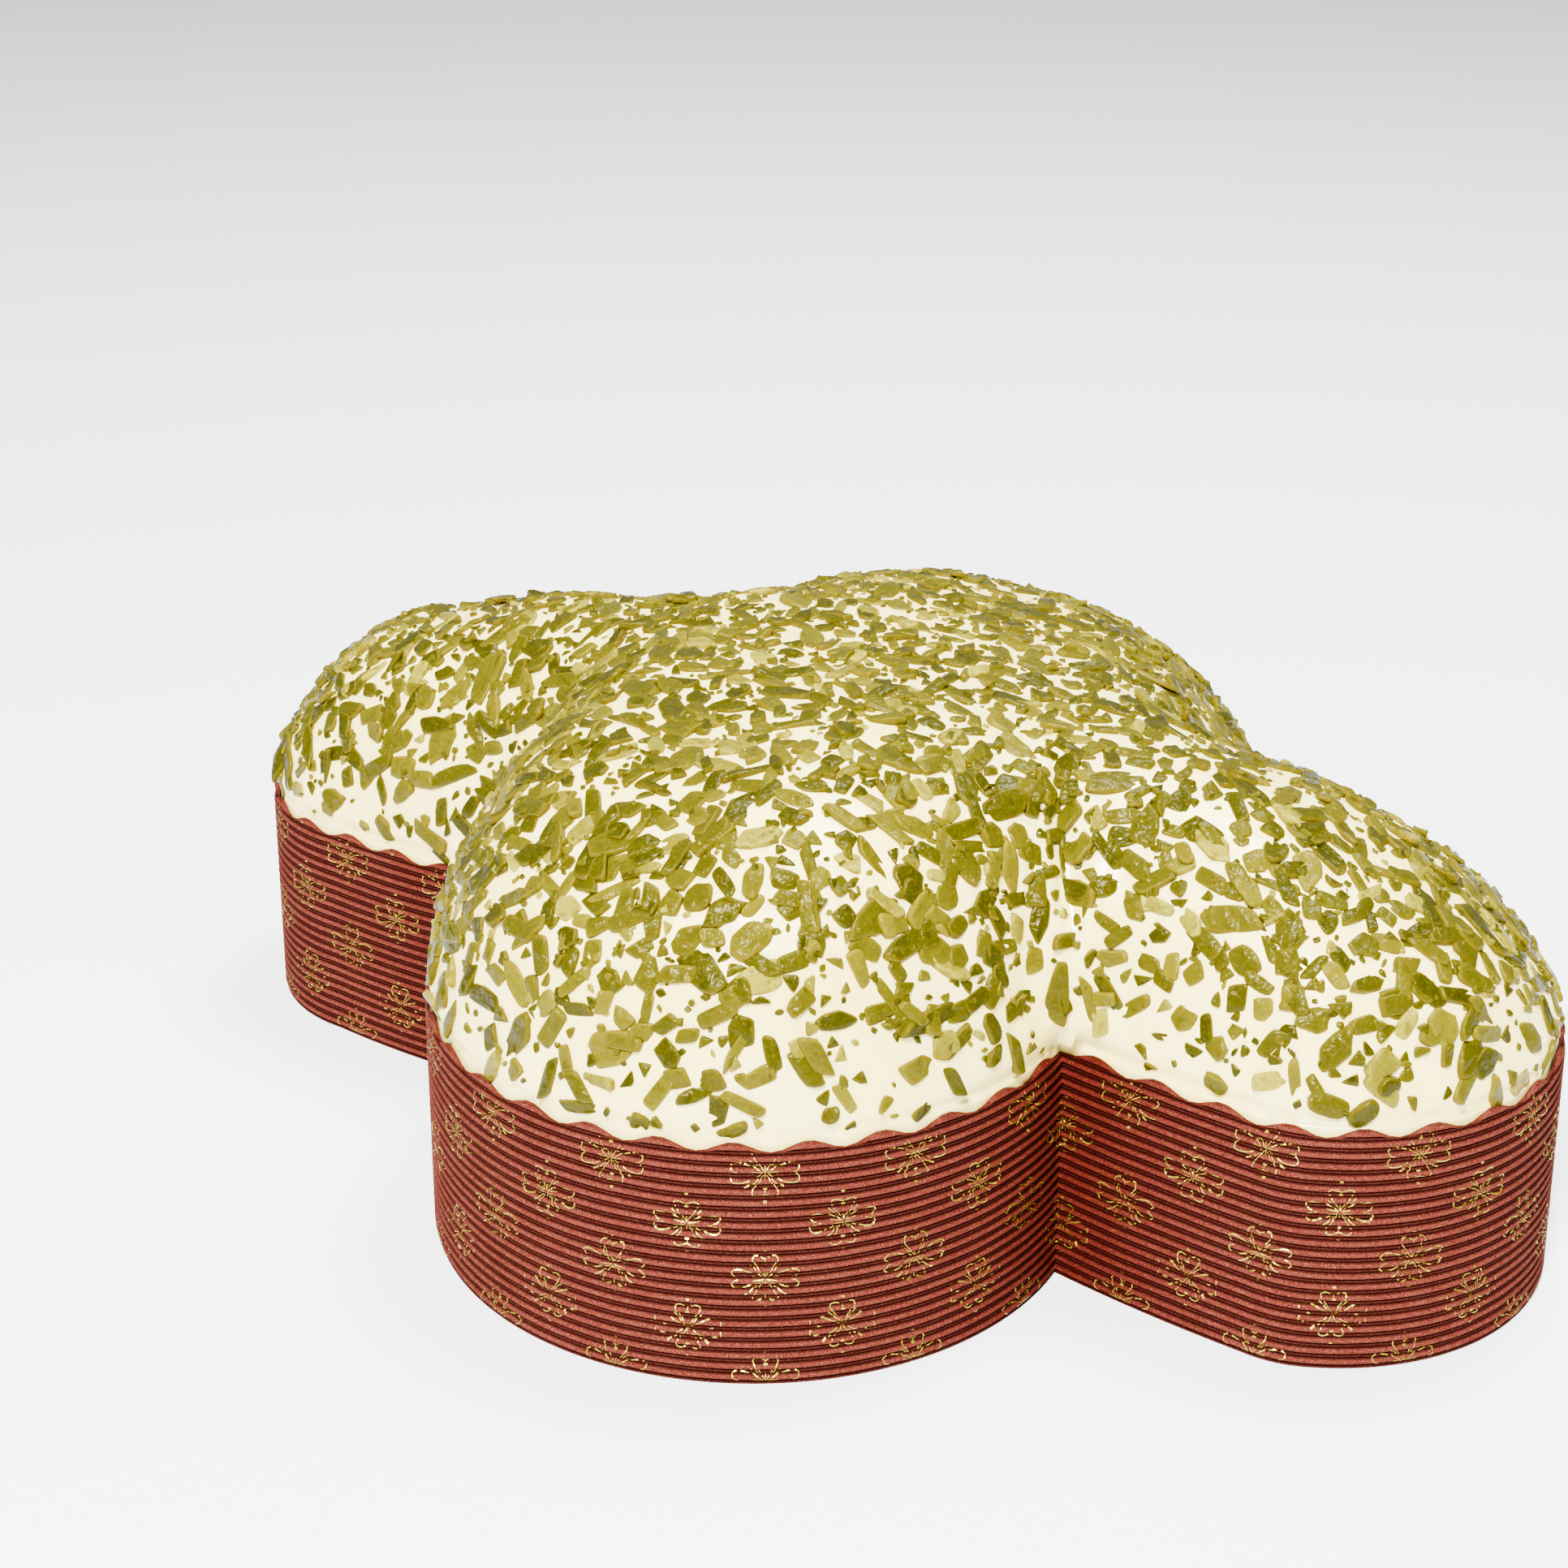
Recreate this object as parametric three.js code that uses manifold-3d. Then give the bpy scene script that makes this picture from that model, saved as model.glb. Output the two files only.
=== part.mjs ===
// A glazed dove loaf in its low fluted paper case, in millimetres, +Z up, standing on z = 0.
// Seen from above the loaf is a stylised dove: head towards -X, tail towards +X, a wing on each side.
import * as THREE from "three";
import { mergeVertices } from "three/addons/utils/BufferGeometryUtils.js";
import Module from "manifold-3d";

const wasm = await Module();
wasm.setup();

// Plan of the case, outside face. It is the same on both sides of the X axis.
const HEAD_CENTRE = -117.5;
const HEAD_RADIUS = 37.5;
const HEAD_SIDE_BULGE = 1.8;
const WING_CENTRE_X = 4;
const WING_CENTRE_Y = 47.5;
const WING_RADIUS = 67.2;
const WING_START_DEG = -5;
const WING_END_DEG = 188.3;
const TAIL_TIP = 155;
const TAIL_CORNER_X = 116;
const TAIL_CORNER_Y = 25;
const TAIL_CORNER_RADIUS = 22.5;
const TAIL_SIDE_BULGE = 0.7;

// Paper case.
const CASE_HEIGHT = 50;
const CASE_WALL = 1.5;
const CASE_FLOOR = 1;
const SCALLOP_DEPTH = 2.5;
const SCALLOPS_PER_LOBE = 16;
const POINTS_PER_SCALLOP = 4;

// Crown of the loaf, measured to the outside of the glaze.
const HALF_LENGTH = 150;
const HALF_WIDTH = 110;
const CROWN_RISE = 57;
const CROWN_FALL_ALONG = 0.395;
const CROWN_FALL_ACROSS = 0.205;
const CROWN_LEAN_ALONG = 0.06;
const CROWN_LEAN_ACROSS = 0.065;
const CROWN_TWIST = 0.23;
const EDGE_ROUNDING = 31.6;
const EDGE_POWER = 0.635;
const NOTCH_FILL = 0.35;
const NOTCH_REACH = 38;
const NOTCH_SMOOTHING = 20;
const SMOOTHING_SHARE = 0.75;
const SMOOTHING_SAMPLES = 12;
const SMALLEST = 1e-9;
const GAP = 0.3;

// Glaze: a skin over the crown that ends just inside the paper, and swells over the rim.
const GLAZE_THICKNESS = 3.2;
const GLAZE_EDGE_DROP = 2;
const GLAZE_EDGE_RISE = 1.6;
const SWELL_RISE = 6;
const SWELL_HOLD = 12;
const SWELL_END = 30;
const SWELL_INSET = 0.2;
const COLUMNS_PER_LOBE = 26;

// The crown's points lie in columns that run from the edge to a spine along the middle of the loaf, on rings
// at these shares of the way out from the spine.
const SPINE_SHARE = 0.6;
const SPINE_REACH = 88;
const GLAZE_RINGS = [0.993, 0.975, 0.945, 0.9, 0.84, 0.76, 0.66, 0.53, 0.37, 0.19];
const BREAD_RINGS = [0.985, 0.94, 0.86, 0.72, 0.54, 0.3];
const MEETING = 1e-4;

// Chopped pistachio.
const NUT_COUNT = 120;
const NUT_SEED = 20260405;
const NUT_LENGTH = [7.5, 13];
const NUT_WIDTH = [3.6, 6];
const NUT_THICKNESS = [1.6, 2.6];
const NUT_SINK = 1.1;
const NUT_SPACING = 13;
const NUT_EDGE_CLEARANCE = 7;
const NUT_NOTCH_CLEARANCE = 20;

const radians = THREE.MathUtils.degToRad;

// The point on a circle where a line from an outside point touches it.
function touchAngle(from, centre, radius, side) {
  const away = from.clone().sub(centre);
  return Math.atan2(away.y, away.x) + side * Math.acos(radius / away.length());
}

function onCircle(centre, radius, angle) {
  return new THREE.Vector2(centre.x + radius * Math.cos(angle), centre.y + radius * Math.sin(angle));
}

// The middle control point of a quadratic curve that bulges to the left of the chord by a given height.
function bulgeControl(from, to, bulge) {
  const chord = to.clone().sub(from);
  const left = new THREE.Vector2(-chord.y, chord.x).normalize();
  return from.clone().add(to).multiplyScalar(0.5).addScaledVector(left, 2 * bulge);
}

const mirrored = (point) => new THREE.Vector2(point.x, -point.y);

// The four lobes of the outline, clockwise from the far head notch: far wing, tail, near wing, head.
function lobePaths() {
  const wing = new THREE.Vector2(WING_CENTRE_X, WING_CENTRE_Y);
  const head = new THREE.Vector2(HEAD_CENTRE, 0);
  const corner = new THREE.Vector2(TAIL_CORNER_X, TAIL_CORNER_Y);
  const headNotch = onCircle(wing, WING_RADIUS, radians(WING_END_DEG));
  const tailNotch = onCircle(wing, WING_RADIUS, radians(WING_START_DEG));

  const farWing = new THREE.Path();
  farWing.absarc(wing.x, wing.y, WING_RADIUS, radians(WING_END_DEG), radians(WING_START_DEG), true);

  const tipReach = TAIL_TIP - TAIL_CORNER_RADIUS;
  const endCentre = (corner.lengthSq() - tipReach ** 2) / (2 * (corner.x - tipReach));
  const endRadius = TAIL_TIP - endCentre;
  const endAngle = Math.atan2(corner.y, corner.x - endCentre);
  const cornerAngle = touchAngle(tailNotch, corner, TAIL_CORNER_RADIUS, -1);
  const cornerStart = onCircle(corner, TAIL_CORNER_RADIUS, cornerAngle);
  const outgoing = bulgeControl(tailNotch, cornerStart, TAIL_SIDE_BULGE);
  const tail = new THREE.Path();
  tail.moveTo(tailNotch.x, tailNotch.y);
  tail.quadraticCurveTo(outgoing.x, outgoing.y, cornerStart.x, cornerStart.y);
  tail.absarc(corner.x, corner.y, TAIL_CORNER_RADIUS, cornerAngle, endAngle, true);
  tail.absarc(endCentre, 0, endRadius, endAngle, -endAngle, true);
  tail.absarc(corner.x, -corner.y, TAIL_CORNER_RADIUS, -endAngle, -cornerAngle, true);
  tail.quadraticCurveTo(outgoing.x, -outgoing.y, tailNotch.x, -tailNotch.y);

  const nearWing = new THREE.Path();
  nearWing.absarc(wing.x, -wing.y, WING_RADIUS, radians(-WING_START_DEG), radians(-WING_END_DEG), true);

  const headAngle = touchAngle(headNotch, head, HEAD_RADIUS, 1);
  const headEnd = onCircle(head, HEAD_RADIUS, headAngle);
  const returning = bulgeControl(headEnd, headNotch, HEAD_SIDE_BULGE);
  const headPath = new THREE.Path();
  headPath.moveTo(headNotch.x, -headNotch.y);
  headPath.quadraticCurveTo(returning.x, -returning.y, headEnd.x, -headEnd.y);
  headPath.absarc(head.x, head.y, HEAD_RADIUS, -headAngle, headAngle - 2 * Math.PI, true);
  headPath.quadraticCurveTo(returning.x, returning.y, headNotch.x, headNotch.y);
  return [farWing, tail, nearWing, headPath];
}

// Evenly spaced points round the outline, counter-clockwise, with one on each notch.
function outlinePoints(perLobe) {
  const points = [];
  for (const path of lobePaths()) points.push(...path.getSpacedPoints(perLobe).slice(0, perLobe));
  return points.reverse();
}

// The outline moved inwards by a distance, with mitred corners.
function inset(points, distance) {
  const count = points.length;
  return points.map((point, i) => {
    const before = point.clone().sub(points[(i + count - 1) % count]).normalize();
    const after = points[(i + 1) % count].clone().sub(point).normalize();
    const left = new THREE.Vector2(-before.y - after.y, before.x + after.x).normalize();
    const mitre = left.dot(new THREE.Vector2(-before.y, before.x));
    return point.clone().addScaledVector(left, distance / mitre);
  });
}

// A surface made of closed rows of points, each row joined to the next, with optional caps.
class Rows {
  constructor(count) {
    this.count = count;
    this.positions = [];
    this.triangles = [];
    this.rows = 0;
  }

  // Rows added from the top down are turned, which splits their quads as rows added upwards are split.
  add(points, turned = false) {
    for (const point of points) this.positions.push(point.x, point.y, point.z);
    if (this.rows > 0) this.join(this.rows - 1, this.rows, turned);
    this.rows += 1;
  }

  join(first, second, turned) {
    for (let i = 0; i < this.count; i += 1) {
      const next = (i + 1) % this.count;
      const a = first * this.count;
      const b = second * this.count;
      if (turned) this.triangles.push(a + i, a + next, b + i, a + next, b + next, b + i);
      else this.triangles.push(a + i, a + next, b + next, a + i, b + next, b + i);
    }
  }

  // Closes a row with flat triangles. The first row faces down, the last one up.
  capFlat(row, facingUp) {
    const flat = [];
    for (let i = 0; i < this.count; i += 1) {
      const at = 3 * (row * this.count + i);
      flat.push(new THREE.Vector2(this.positions[at], this.positions[at + 1]));
    }
    for (const [a, b, c] of THREE.ShapeUtils.triangulateShape(flat, [])) {
      const start = row * this.count;
      if (facingUp) this.triangles.push(start + a, start + b, start + c);
      else this.triangles.push(start + a, start + c, start + b);
    }
  }

  // The rows as they were added, with no points merged.
  surface() {
    const made = new THREE.BufferGeometry();
    made.setAttribute("position", new THREE.Float32BufferAttribute(this.positions, 3));
    made.setIndex(this.triangles);
    return made;
  }

  // The same with points that meet merged, without the triangles that this leaves flat.
  geometry() {
    const made = mergeVertices(this.surface(), MEETING);
    const index = made.getIndex();
    const kept = [];
    for (let i = 0; i < index.count; i += 3) {
      const corners = [index.getX(i), index.getX(i + 1), index.getX(i + 2)];
      if (new Set(corners).size === 3) kept.push(...corners);
    }
    made.setIndex(kept);
    return made;
  }
}

const lifted = (points, z) => points.map((p) => new THREE.Vector3(p.x, p.y, z));

function caseGeometry() {
  const perLobe = SCALLOPS_PER_LOBE * POINTS_PER_SCALLOP;
  const outside = outlinePoints(perLobe);
  const inside = inset(outside, CASE_WALL);
  // A scallop is at its highest on each notch. The list of points ends on one.
  const rim = (i) => {
    const turns = (i + 1) / POINTS_PER_SCALLOP;
    return CASE_HEIGHT + (SCALLOP_DEPTH / 2) * Math.cos(2 * Math.PI * turns);
  };
  const rows = new Rows(outside.length);
  rows.add(lifted(outside, 0));
  rows.add(outside.map((p, i) => new THREE.Vector3(p.x, p.y, rim(i))));
  rows.add(inside.map((p, i) => new THREE.Vector3(p.x, p.y, rim(i))));
  rows.add(lifted(inside, CASE_FLOOR));
  rows.capFlat(0, false);
  rows.capFlat(3, true);
  return rows.geometry();
}

// How deep a point lies inside a closed outline. Beside a long straight side it is the distance to that side.
// It grows faster beside a notch and slower in a narrow lobe, as dough rises.
function depthInside(outline, point) {
  let nearness = 0;
  for (let i = 0; i < outline.length; i += 1) {
    const toStart = outline[i].clone().sub(point);
    const toEnd = outline[(i + 1) % outline.length].clone().sub(point);
    const across = Math.abs(toStart.cross(toEnd));
    const angleSeen = Math.atan2(across, toStart.dot(toEnd));
    nearness += (angleSeen * toStart.distanceTo(toEnd)) / Math.max(across, SMALLEST);
  }
  return Math.PI / nearness;
}

// The crown's height above the rim: broad and a little uneven over the loaf, and rounded down to the outline.
function crownRise(point, depth) {
  const along = point.x / HALF_LENGTH;
  const across = point.y / HALF_WIDTH;
  const fall = CROWN_FALL_ALONG * along ** 2 + CROWN_FALL_ACROSS * across ** 2;
  const lean = CROWN_LEAN_ALONG * along + CROWN_LEAN_ACROSS * across + CROWN_TWIST * along * across;
  const short = 1 - Math.min(depth / EDGE_ROUNDING, 1);
  return CROWN_RISE * (1 - fall - lean) * (1 - short ** 2) ** EDGE_POWER;
}

// How far inside the outline the glaze stands at a height above the rim.
function glazeInset(rise) {
  const edge = CASE_WALL + GAP;
  if (rise <= GLAZE_EDGE_RISE) return edge;
  if (rise <= SWELL_RISE) {
    return THREE.MathUtils.lerp(edge, SWELL_INSET, THREE.MathUtils.smoothstep(rise, GLAZE_EDGE_RISE, SWELL_RISE));
  }
  return SWELL_INSET * (1 - THREE.MathUtils.smoothstep(rise, SWELL_HOLD, SWELL_END));
}

// The outside of the glaze: rows from the edge just inside the paper up to the ring nearest the middle.
class Crown {
  constructor() {
    this.edge = outlinePoints(COLUMNS_PER_LOBE);
    this.count = this.edge.length;
    this.inward = inset(this.edge, 1).map((p, i) => p.sub(this.edge[i]));
    this.spine = this.edge.map(({ x }) => {
      return new THREE.Vector2(THREE.MathUtils.clamp(SPINE_SHARE * x, -SPINE_REACH, SPINE_REACH), 0);
    });
  }

  // Near a notch the two lobes have run together: the valley between them is filled a little, and its
  // height is the mean of the heights on a small circle.
  rise(flat) {
    const toNotch = Math.min(...this.notches().map((notch) => notch.distanceTo(flat)));
    const closeness = Math.exp(-((toNotch / NOTCH_REACH) ** 2));
    const depth = depthInside(this.edge, flat);
    const radius = Math.min(NOTCH_SMOOTHING * closeness, SMOOTHING_SHARE * depth);
    let sum = 0;
    for (let i = 0; i < SMOOTHING_SAMPLES; i += 1) {
      const sample = onCircle(flat, radius, (2 * Math.PI * i) / SMOOTHING_SAMPLES);
      sum += crownRise(sample, depthInside(this.edge, sample) * (1 + NOTCH_FILL * closeness));
    }
    return sum / SMOOTHING_SAMPLES;
  }

  point(share, column) {
    const flat = this.spine[column].clone().lerp(this.edge[column], share);
    const rise = this.rise(flat);
    flat.addScaledVector(this.inward[column], glazeInset(rise));
    return new THREE.Vector3(flat.x, flat.y, CASE_HEIGHT + rise);
  }

  // The four notches between the lobes. The list of points ends on one.
  notches() {
    return this.edge.filter((_, i) => (i + 1) % COLUMNS_PER_LOBE === 0);
  }

  // Two upright rows at the edge, then the given rings from the outside in, and last the spine.
  rows(rings) {
    const standing = inset(this.edge, CASE_WALL + GAP);
    const made = [
      lifted(standing, CASE_HEIGHT - GLAZE_EDGE_DROP),
      lifted(standing, CASE_HEIGHT + GLAZE_EDGE_RISE),
    ];
    for (const share of [...rings, 0]) {
      made.push(Array.from({ length: this.count }, (_, column) => this.point(share, column)));
    }
    return made;
  }

  // The same rows moved inwards along the surface's normals: the first row level, the last straight down.
  offsetRows(rings, depth) {
    const shell = new Rows(this.count);
    for (const row of this.rows(rings)) shell.add(row);
    const surface = shell.surface();
    surface.computeVertexNormals();
    const position = surface.getAttribute("position");
    const normal = surface.getAttribute("normal");
    const moved = [];
    for (let i = 0; i < position.count; i += 1) {
      const point = new THREE.Vector3().fromBufferAttribute(position, i);
      const step = new THREE.Vector3().fromBufferAttribute(normal, i);
      if (i < this.count) step.setZ(0).normalize();
      if (i >= position.count - this.count) step.set(0, 0, 1);
      moved.push(point.addScaledVector(step, -depth));
    }
    const rows = [];
    for (let row = 0; row < shell.rows; row += 1) {
      rows.push(moved.slice(row * this.count, (row + 1) * this.count));
    }
    return rows;
  }
}

function glazeGeometry(crown) {
  const rows = new Rows(crown.count);
  for (const row of crown.offsetRows(BREAD_RINGS, GLAZE_THICKNESS).reverse()) rows.add(row, true);
  for (const row of crown.rows(GLAZE_RINGS)) rows.add(row);
  return rows.geometry();
}

// All that lies under the glaze, down to the level of its edge.
function hollowGeometry(crown) {
  const rows = new Rows(crown.count);
  for (const row of crown.offsetRows(BREAD_RINGS, GLAZE_THICKNESS)) rows.add(row);
  rows.capFlat(0, false);
  return rows.geometry();
}

function breadGeometry(crown) {
  const rows = new Rows(crown.count);
  const shoulder = CASE_HEIGHT - GLAZE_EDGE_DROP - GAP;
  const wall = inset(crown.edge, CASE_WALL + GAP);
  const [lowest, ...dome] = crown.offsetRows(BREAD_RINGS, GLAZE_THICKNESS + GAP);
  rows.add(lifted(wall, CASE_FLOOR + GAP));
  rows.add(lifted(wall, shoulder));
  rows.add(lifted(lowest, shoulder));
  for (const row of dome) rows.add(row);
  rows.capFlat(0, false);
  return rows.geometry();
}

// A small seeded generator of numbers from 0 to 1.
function seeded(seed) {
  const multiplier = 1664525;
  const increment = 1013904223;
  const modulus = 2 ** 32;
  let state = seed % modulus;
  return () => {
    state = (state * multiplier + increment) % modulus;
    return state / modulus;
  };
}

// An angular sliver of nut lying flat on z = 0, its top face smaller than its foot.
function sliverGeometry(draw) {
  const between = ([low, high]) => low + (high - low) * draw();
  const length = between(NUT_LENGTH);
  const width = between(NUT_WIDTH);
  const thickness = between(NUT_THICKNESS);
  const sides = draw() < 0.5 ? 4 : 5;
  const foot = [];
  for (let i = 0; i < sides; i += 1) {
    const angle = ((i + 0.5 + 0.5 * (draw() - 0.5)) / sides) * 2 * Math.PI;
    const reach = 0.85 + 0.3 * draw();
    foot.push(new THREE.Vector2((length / 2) * reach * Math.cos(angle), (width / 2) * reach * Math.sin(angle)));
  }
  const topShare = 0.75;
  const rows = new Rows(sides);
  rows.add(lifted(foot, -NUT_SINK));
  rows.add(lifted(foot.map((p) => p.clone().multiplyScalar(topShare)), thickness));
  rows.capFlat(0, false);
  rows.capFlat(1, true);
  return rows.geometry();
}

// Points spread over the crown, no two closer than the spacing, drawn in proportion to the surface's area.
function spreadOnCrown(crown, draw, count) {
  const shell = new Rows(crown.count);
  for (const row of crown.rows(GLAZE_RINGS).slice(2)) shell.add(row);
  const position = shell.surface().getAttribute("position");
  const triangles = [];
  let total = 0;
  for (let i = 0; i < shell.triangles.length; i += 3) {
    const at = [0, 1, 2].map((k) => new THREE.Vector3().fromBufferAttribute(position, shell.triangles[i + k]));
    const face = new THREE.Triangle(...at);
    total += face.getArea();
    triangles.push({ face, upTo: total });
  }
  const notches = crown.notches();
  const chosen = [];
  const mostTries = 400 * count;
  for (let tries = 0; tries < mostTries && chosen.length < count; tries += 1) {
    const target = draw() * total;
    const { face } = triangles.find(({ upTo }) => upTo >= target);
    let [u, v] = [draw(), draw()];
    if (u + v > 1) [u, v] = [1 - u, 1 - v];
    const point = face.a.clone().addScaledVector(face.b.clone().sub(face.a), u);
    point.addScaledVector(face.c.clone().sub(face.a), v);
    if (point.z < CASE_HEIGHT + NUT_EDGE_CLEARANCE) continue;
    const plan = new THREE.Vector2(point.x, point.y);
    if (notches.some((notch) => notch.distanceTo(plan) < NUT_NOTCH_CLEARANCE)) continue;
    if (chosen.some((other) => other.point.distanceTo(point) < NUT_SPACING)) continue;
    chosen.push({ point, normal: face.getNormal(new THREE.Vector3()) });
  }
  return chosen;
}

// A closed geometry as a solid that can be joined to others.
function solidOf(geometry) {
  const bare = geometry.clone();
  bare.deleteAttribute("normal");
  bare.deleteAttribute("uv");
  const merged = mergeVertices(bare, MEETING);
  return new wasm.Manifold(
    new wasm.Mesh({
      numProp: 3,
      vertProperties: new Float32Array(merged.getAttribute("position").array),
      triVerts: new Uint32Array(merged.index.array),
    }),
  );
}

function geometryOf(solid) {
  const mesh = solid.getMesh();
  const made = new THREE.BufferGeometry();
  made.setAttribute("position", new THREE.BufferAttribute(mesh.vertProperties, 3));
  made.setIndex(new THREE.BufferAttribute(mesh.triVerts, 1));
  made.computeVertexNormals();
  return made;
}

// The bread clear of the glaze all over, also where the glaze's folds run deep.
function breadClearOf(crown, glaze) {
  return geometryOf(solidOf(breadGeometry(crown)).subtract(glaze.translate([0, 0, -GAP / 2])));
}

// The glaze with the largest pieces of pistachio pressed into it, as one solid.
function glazeWithNuts(crown, glaze) {
  const draw = seeded(NUT_SEED);
  const hollow = solidOf(hollowGeometry(crown));
  let solid = glaze;
  const up = new THREE.Vector3(0, 0, 1);
  for (const { point, normal } of spreadOnCrown(crown, draw, NUT_COUNT)) {
    const sliver = sliverGeometry(draw);
    sliver.rotateZ(draw() * Math.PI);
    sliver.applyQuaternion(new THREE.Quaternion().setFromUnitVectors(up, normal));
    sliver.translate(point.x, point.y, point.z);
    solid = solid.add(solidOf(sliver).subtract(hollow));
  }
  return geometryOf(solid);
}

function named(name, geometry, colour, roughness) {
  const material = new THREE.MeshStandardMaterial({ color: colour, roughness, metalness: 0 });
  const mesh = new THREE.Mesh(geometry, material);
  mesh.name = name;
  return mesh;
}

const crown = new Crown();
const skin = solidOf(glazeGeometry(crown));
const loaf = new THREE.Group();
loaf.add(named("paper_case", caseGeometry(), 0x8c3f2e, 0.8));
loaf.add(named("bread", breadClearOf(crown, skin), 0xb06a2c, 0.85));
loaf.add(named("glaze", glazeWithNuts(crown, skin), 0xf3ead2, 0.35));

export default loaf;
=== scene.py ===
"""The looks of a glazed dove loaf with chopped pistachio, standing in its fluted paper case.

Lengths in the dataclasses are in millimetres. Meshes are made in metres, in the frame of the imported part.
"""

import logging  # noqa: E402
import math  # noqa: E402
from dataclasses import dataclass, field  # noqa: E402
from enum import Enum  # noqa: E402
from typing import Any, Callable, Sequence  # noqa: E402

import bpy  # noqa: E402
import numpy as np  # noqa: E402
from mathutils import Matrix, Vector, noise  # noqa: E402
from mathutils.bvhtree import BVHTree  # noqa: E402

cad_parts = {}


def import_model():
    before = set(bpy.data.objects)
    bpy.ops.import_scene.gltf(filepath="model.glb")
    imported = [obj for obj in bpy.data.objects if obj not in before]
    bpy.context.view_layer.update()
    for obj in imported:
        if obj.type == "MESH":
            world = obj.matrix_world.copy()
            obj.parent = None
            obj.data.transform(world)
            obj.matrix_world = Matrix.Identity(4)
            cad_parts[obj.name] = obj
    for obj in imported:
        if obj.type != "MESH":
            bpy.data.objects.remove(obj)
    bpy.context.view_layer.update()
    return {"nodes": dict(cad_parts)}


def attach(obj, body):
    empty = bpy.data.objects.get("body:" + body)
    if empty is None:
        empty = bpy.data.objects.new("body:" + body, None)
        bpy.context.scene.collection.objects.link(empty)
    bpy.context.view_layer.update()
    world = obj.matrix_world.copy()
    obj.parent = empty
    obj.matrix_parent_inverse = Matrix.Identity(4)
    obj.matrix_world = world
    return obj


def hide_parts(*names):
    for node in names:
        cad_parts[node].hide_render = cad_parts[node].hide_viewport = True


log = logging.getLogger("dove_loaf")

METRES = 0.001
ROOT = "root"


# ---------------------------------------------------------------- small tools


def linear(red: float, green: float, blue: float) -> tuple[float, float, float, float]:
    """Turns a screen colour into the linear colour that a shader takes.

    Args:
        red: Red from 0 to 255.
        green: Green from 0 to 255.
        blue: Blue from 0 to 255.

    Returns:
        The linear colour with an alpha of 1.
    """

    def channel(value: float) -> float:
        """One channel on the screen's own curve."""
        share = value / 255
        return share / 12.92 if share <= 0.04045 else ((share + 0.055) / 1.055) ** 2.4

    return channel(red), channel(green), channel(blue), 1.0


def smoothstep(low: float, high: float, value: np.ndarray) -> np.ndarray:
    """Rises smoothly from 0 at low to 1 at high."""
    share = np.clip((value - low) / (high - low), 0, 1)
    return share * share * (3 - 2 * share)


def waves(points: np.ndarray, size: float, seed: float) -> np.ndarray:
    """Smooth noise over points.

    Args:
        points: Points in millimetres, one a row.
        size: The width of one swell in millimetres.
        seed: Moves the pattern, so that two uses differ.

    Returns:
        A number from about -1 to 1 for each point.
    """
    shift = Vector((seed, 1.7 * seed, -2.3 * seed))
    return np.array([noise.noise(Vector(p) / size + shift) for p in points])


def make_mesh(name: str, points: np.ndarray, faces: Sequence[Sequence[int]]) -> bpy.types.Object:
    """Makes a smooth-shaded mesh object.

    Args:
        name: The piece's name.
        points: Its points in millimetres.
        faces: Its faces as lists of point numbers.

    Returns:
        The object, linked to the scene.
    """
    mesh = bpy.data.meshes.new(name)
    mesh.from_pydata((np.asarray(points) * METRES).tolist(), [], [list(map(int, f)) for f in faces])
    mesh.validate()
    mesh.shade_smooth()
    made = bpy.data.objects.new(name, mesh)
    bpy.context.scene.collection.objects.link(made)
    return made


def set_number(made: bpy.types.Object, name: str, values: np.ndarray) -> None:
    """Stores one number for each point of a mesh, for its material to read."""
    attribute = made.data.attributes.new(name, "FLOAT", "POINT")
    attribute.data.foreach_set("value", np.asarray(values, np.float32))


def grid_faces(rows: int, columns: int, first: int = 0) -> list[tuple[int, int, int, int]]:
    """Quads between closed rows of points that run counter-clockwise and go outwards or up.

    Args:
        rows: How many rows there are.
        columns: How many points a row has.
        first: The number of the first row's first point.

    Returns:
        The quads.
    """
    faces = []
    for row in range(rows - 1):
        for column in range(columns):
            after = (column + 1) % columns
            low = first + row * columns
            high = low + columns
            faces.append((low + column, low + after, high + after, high + column))
    return faces


# ------------------------------------------------------------------ materials


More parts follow.
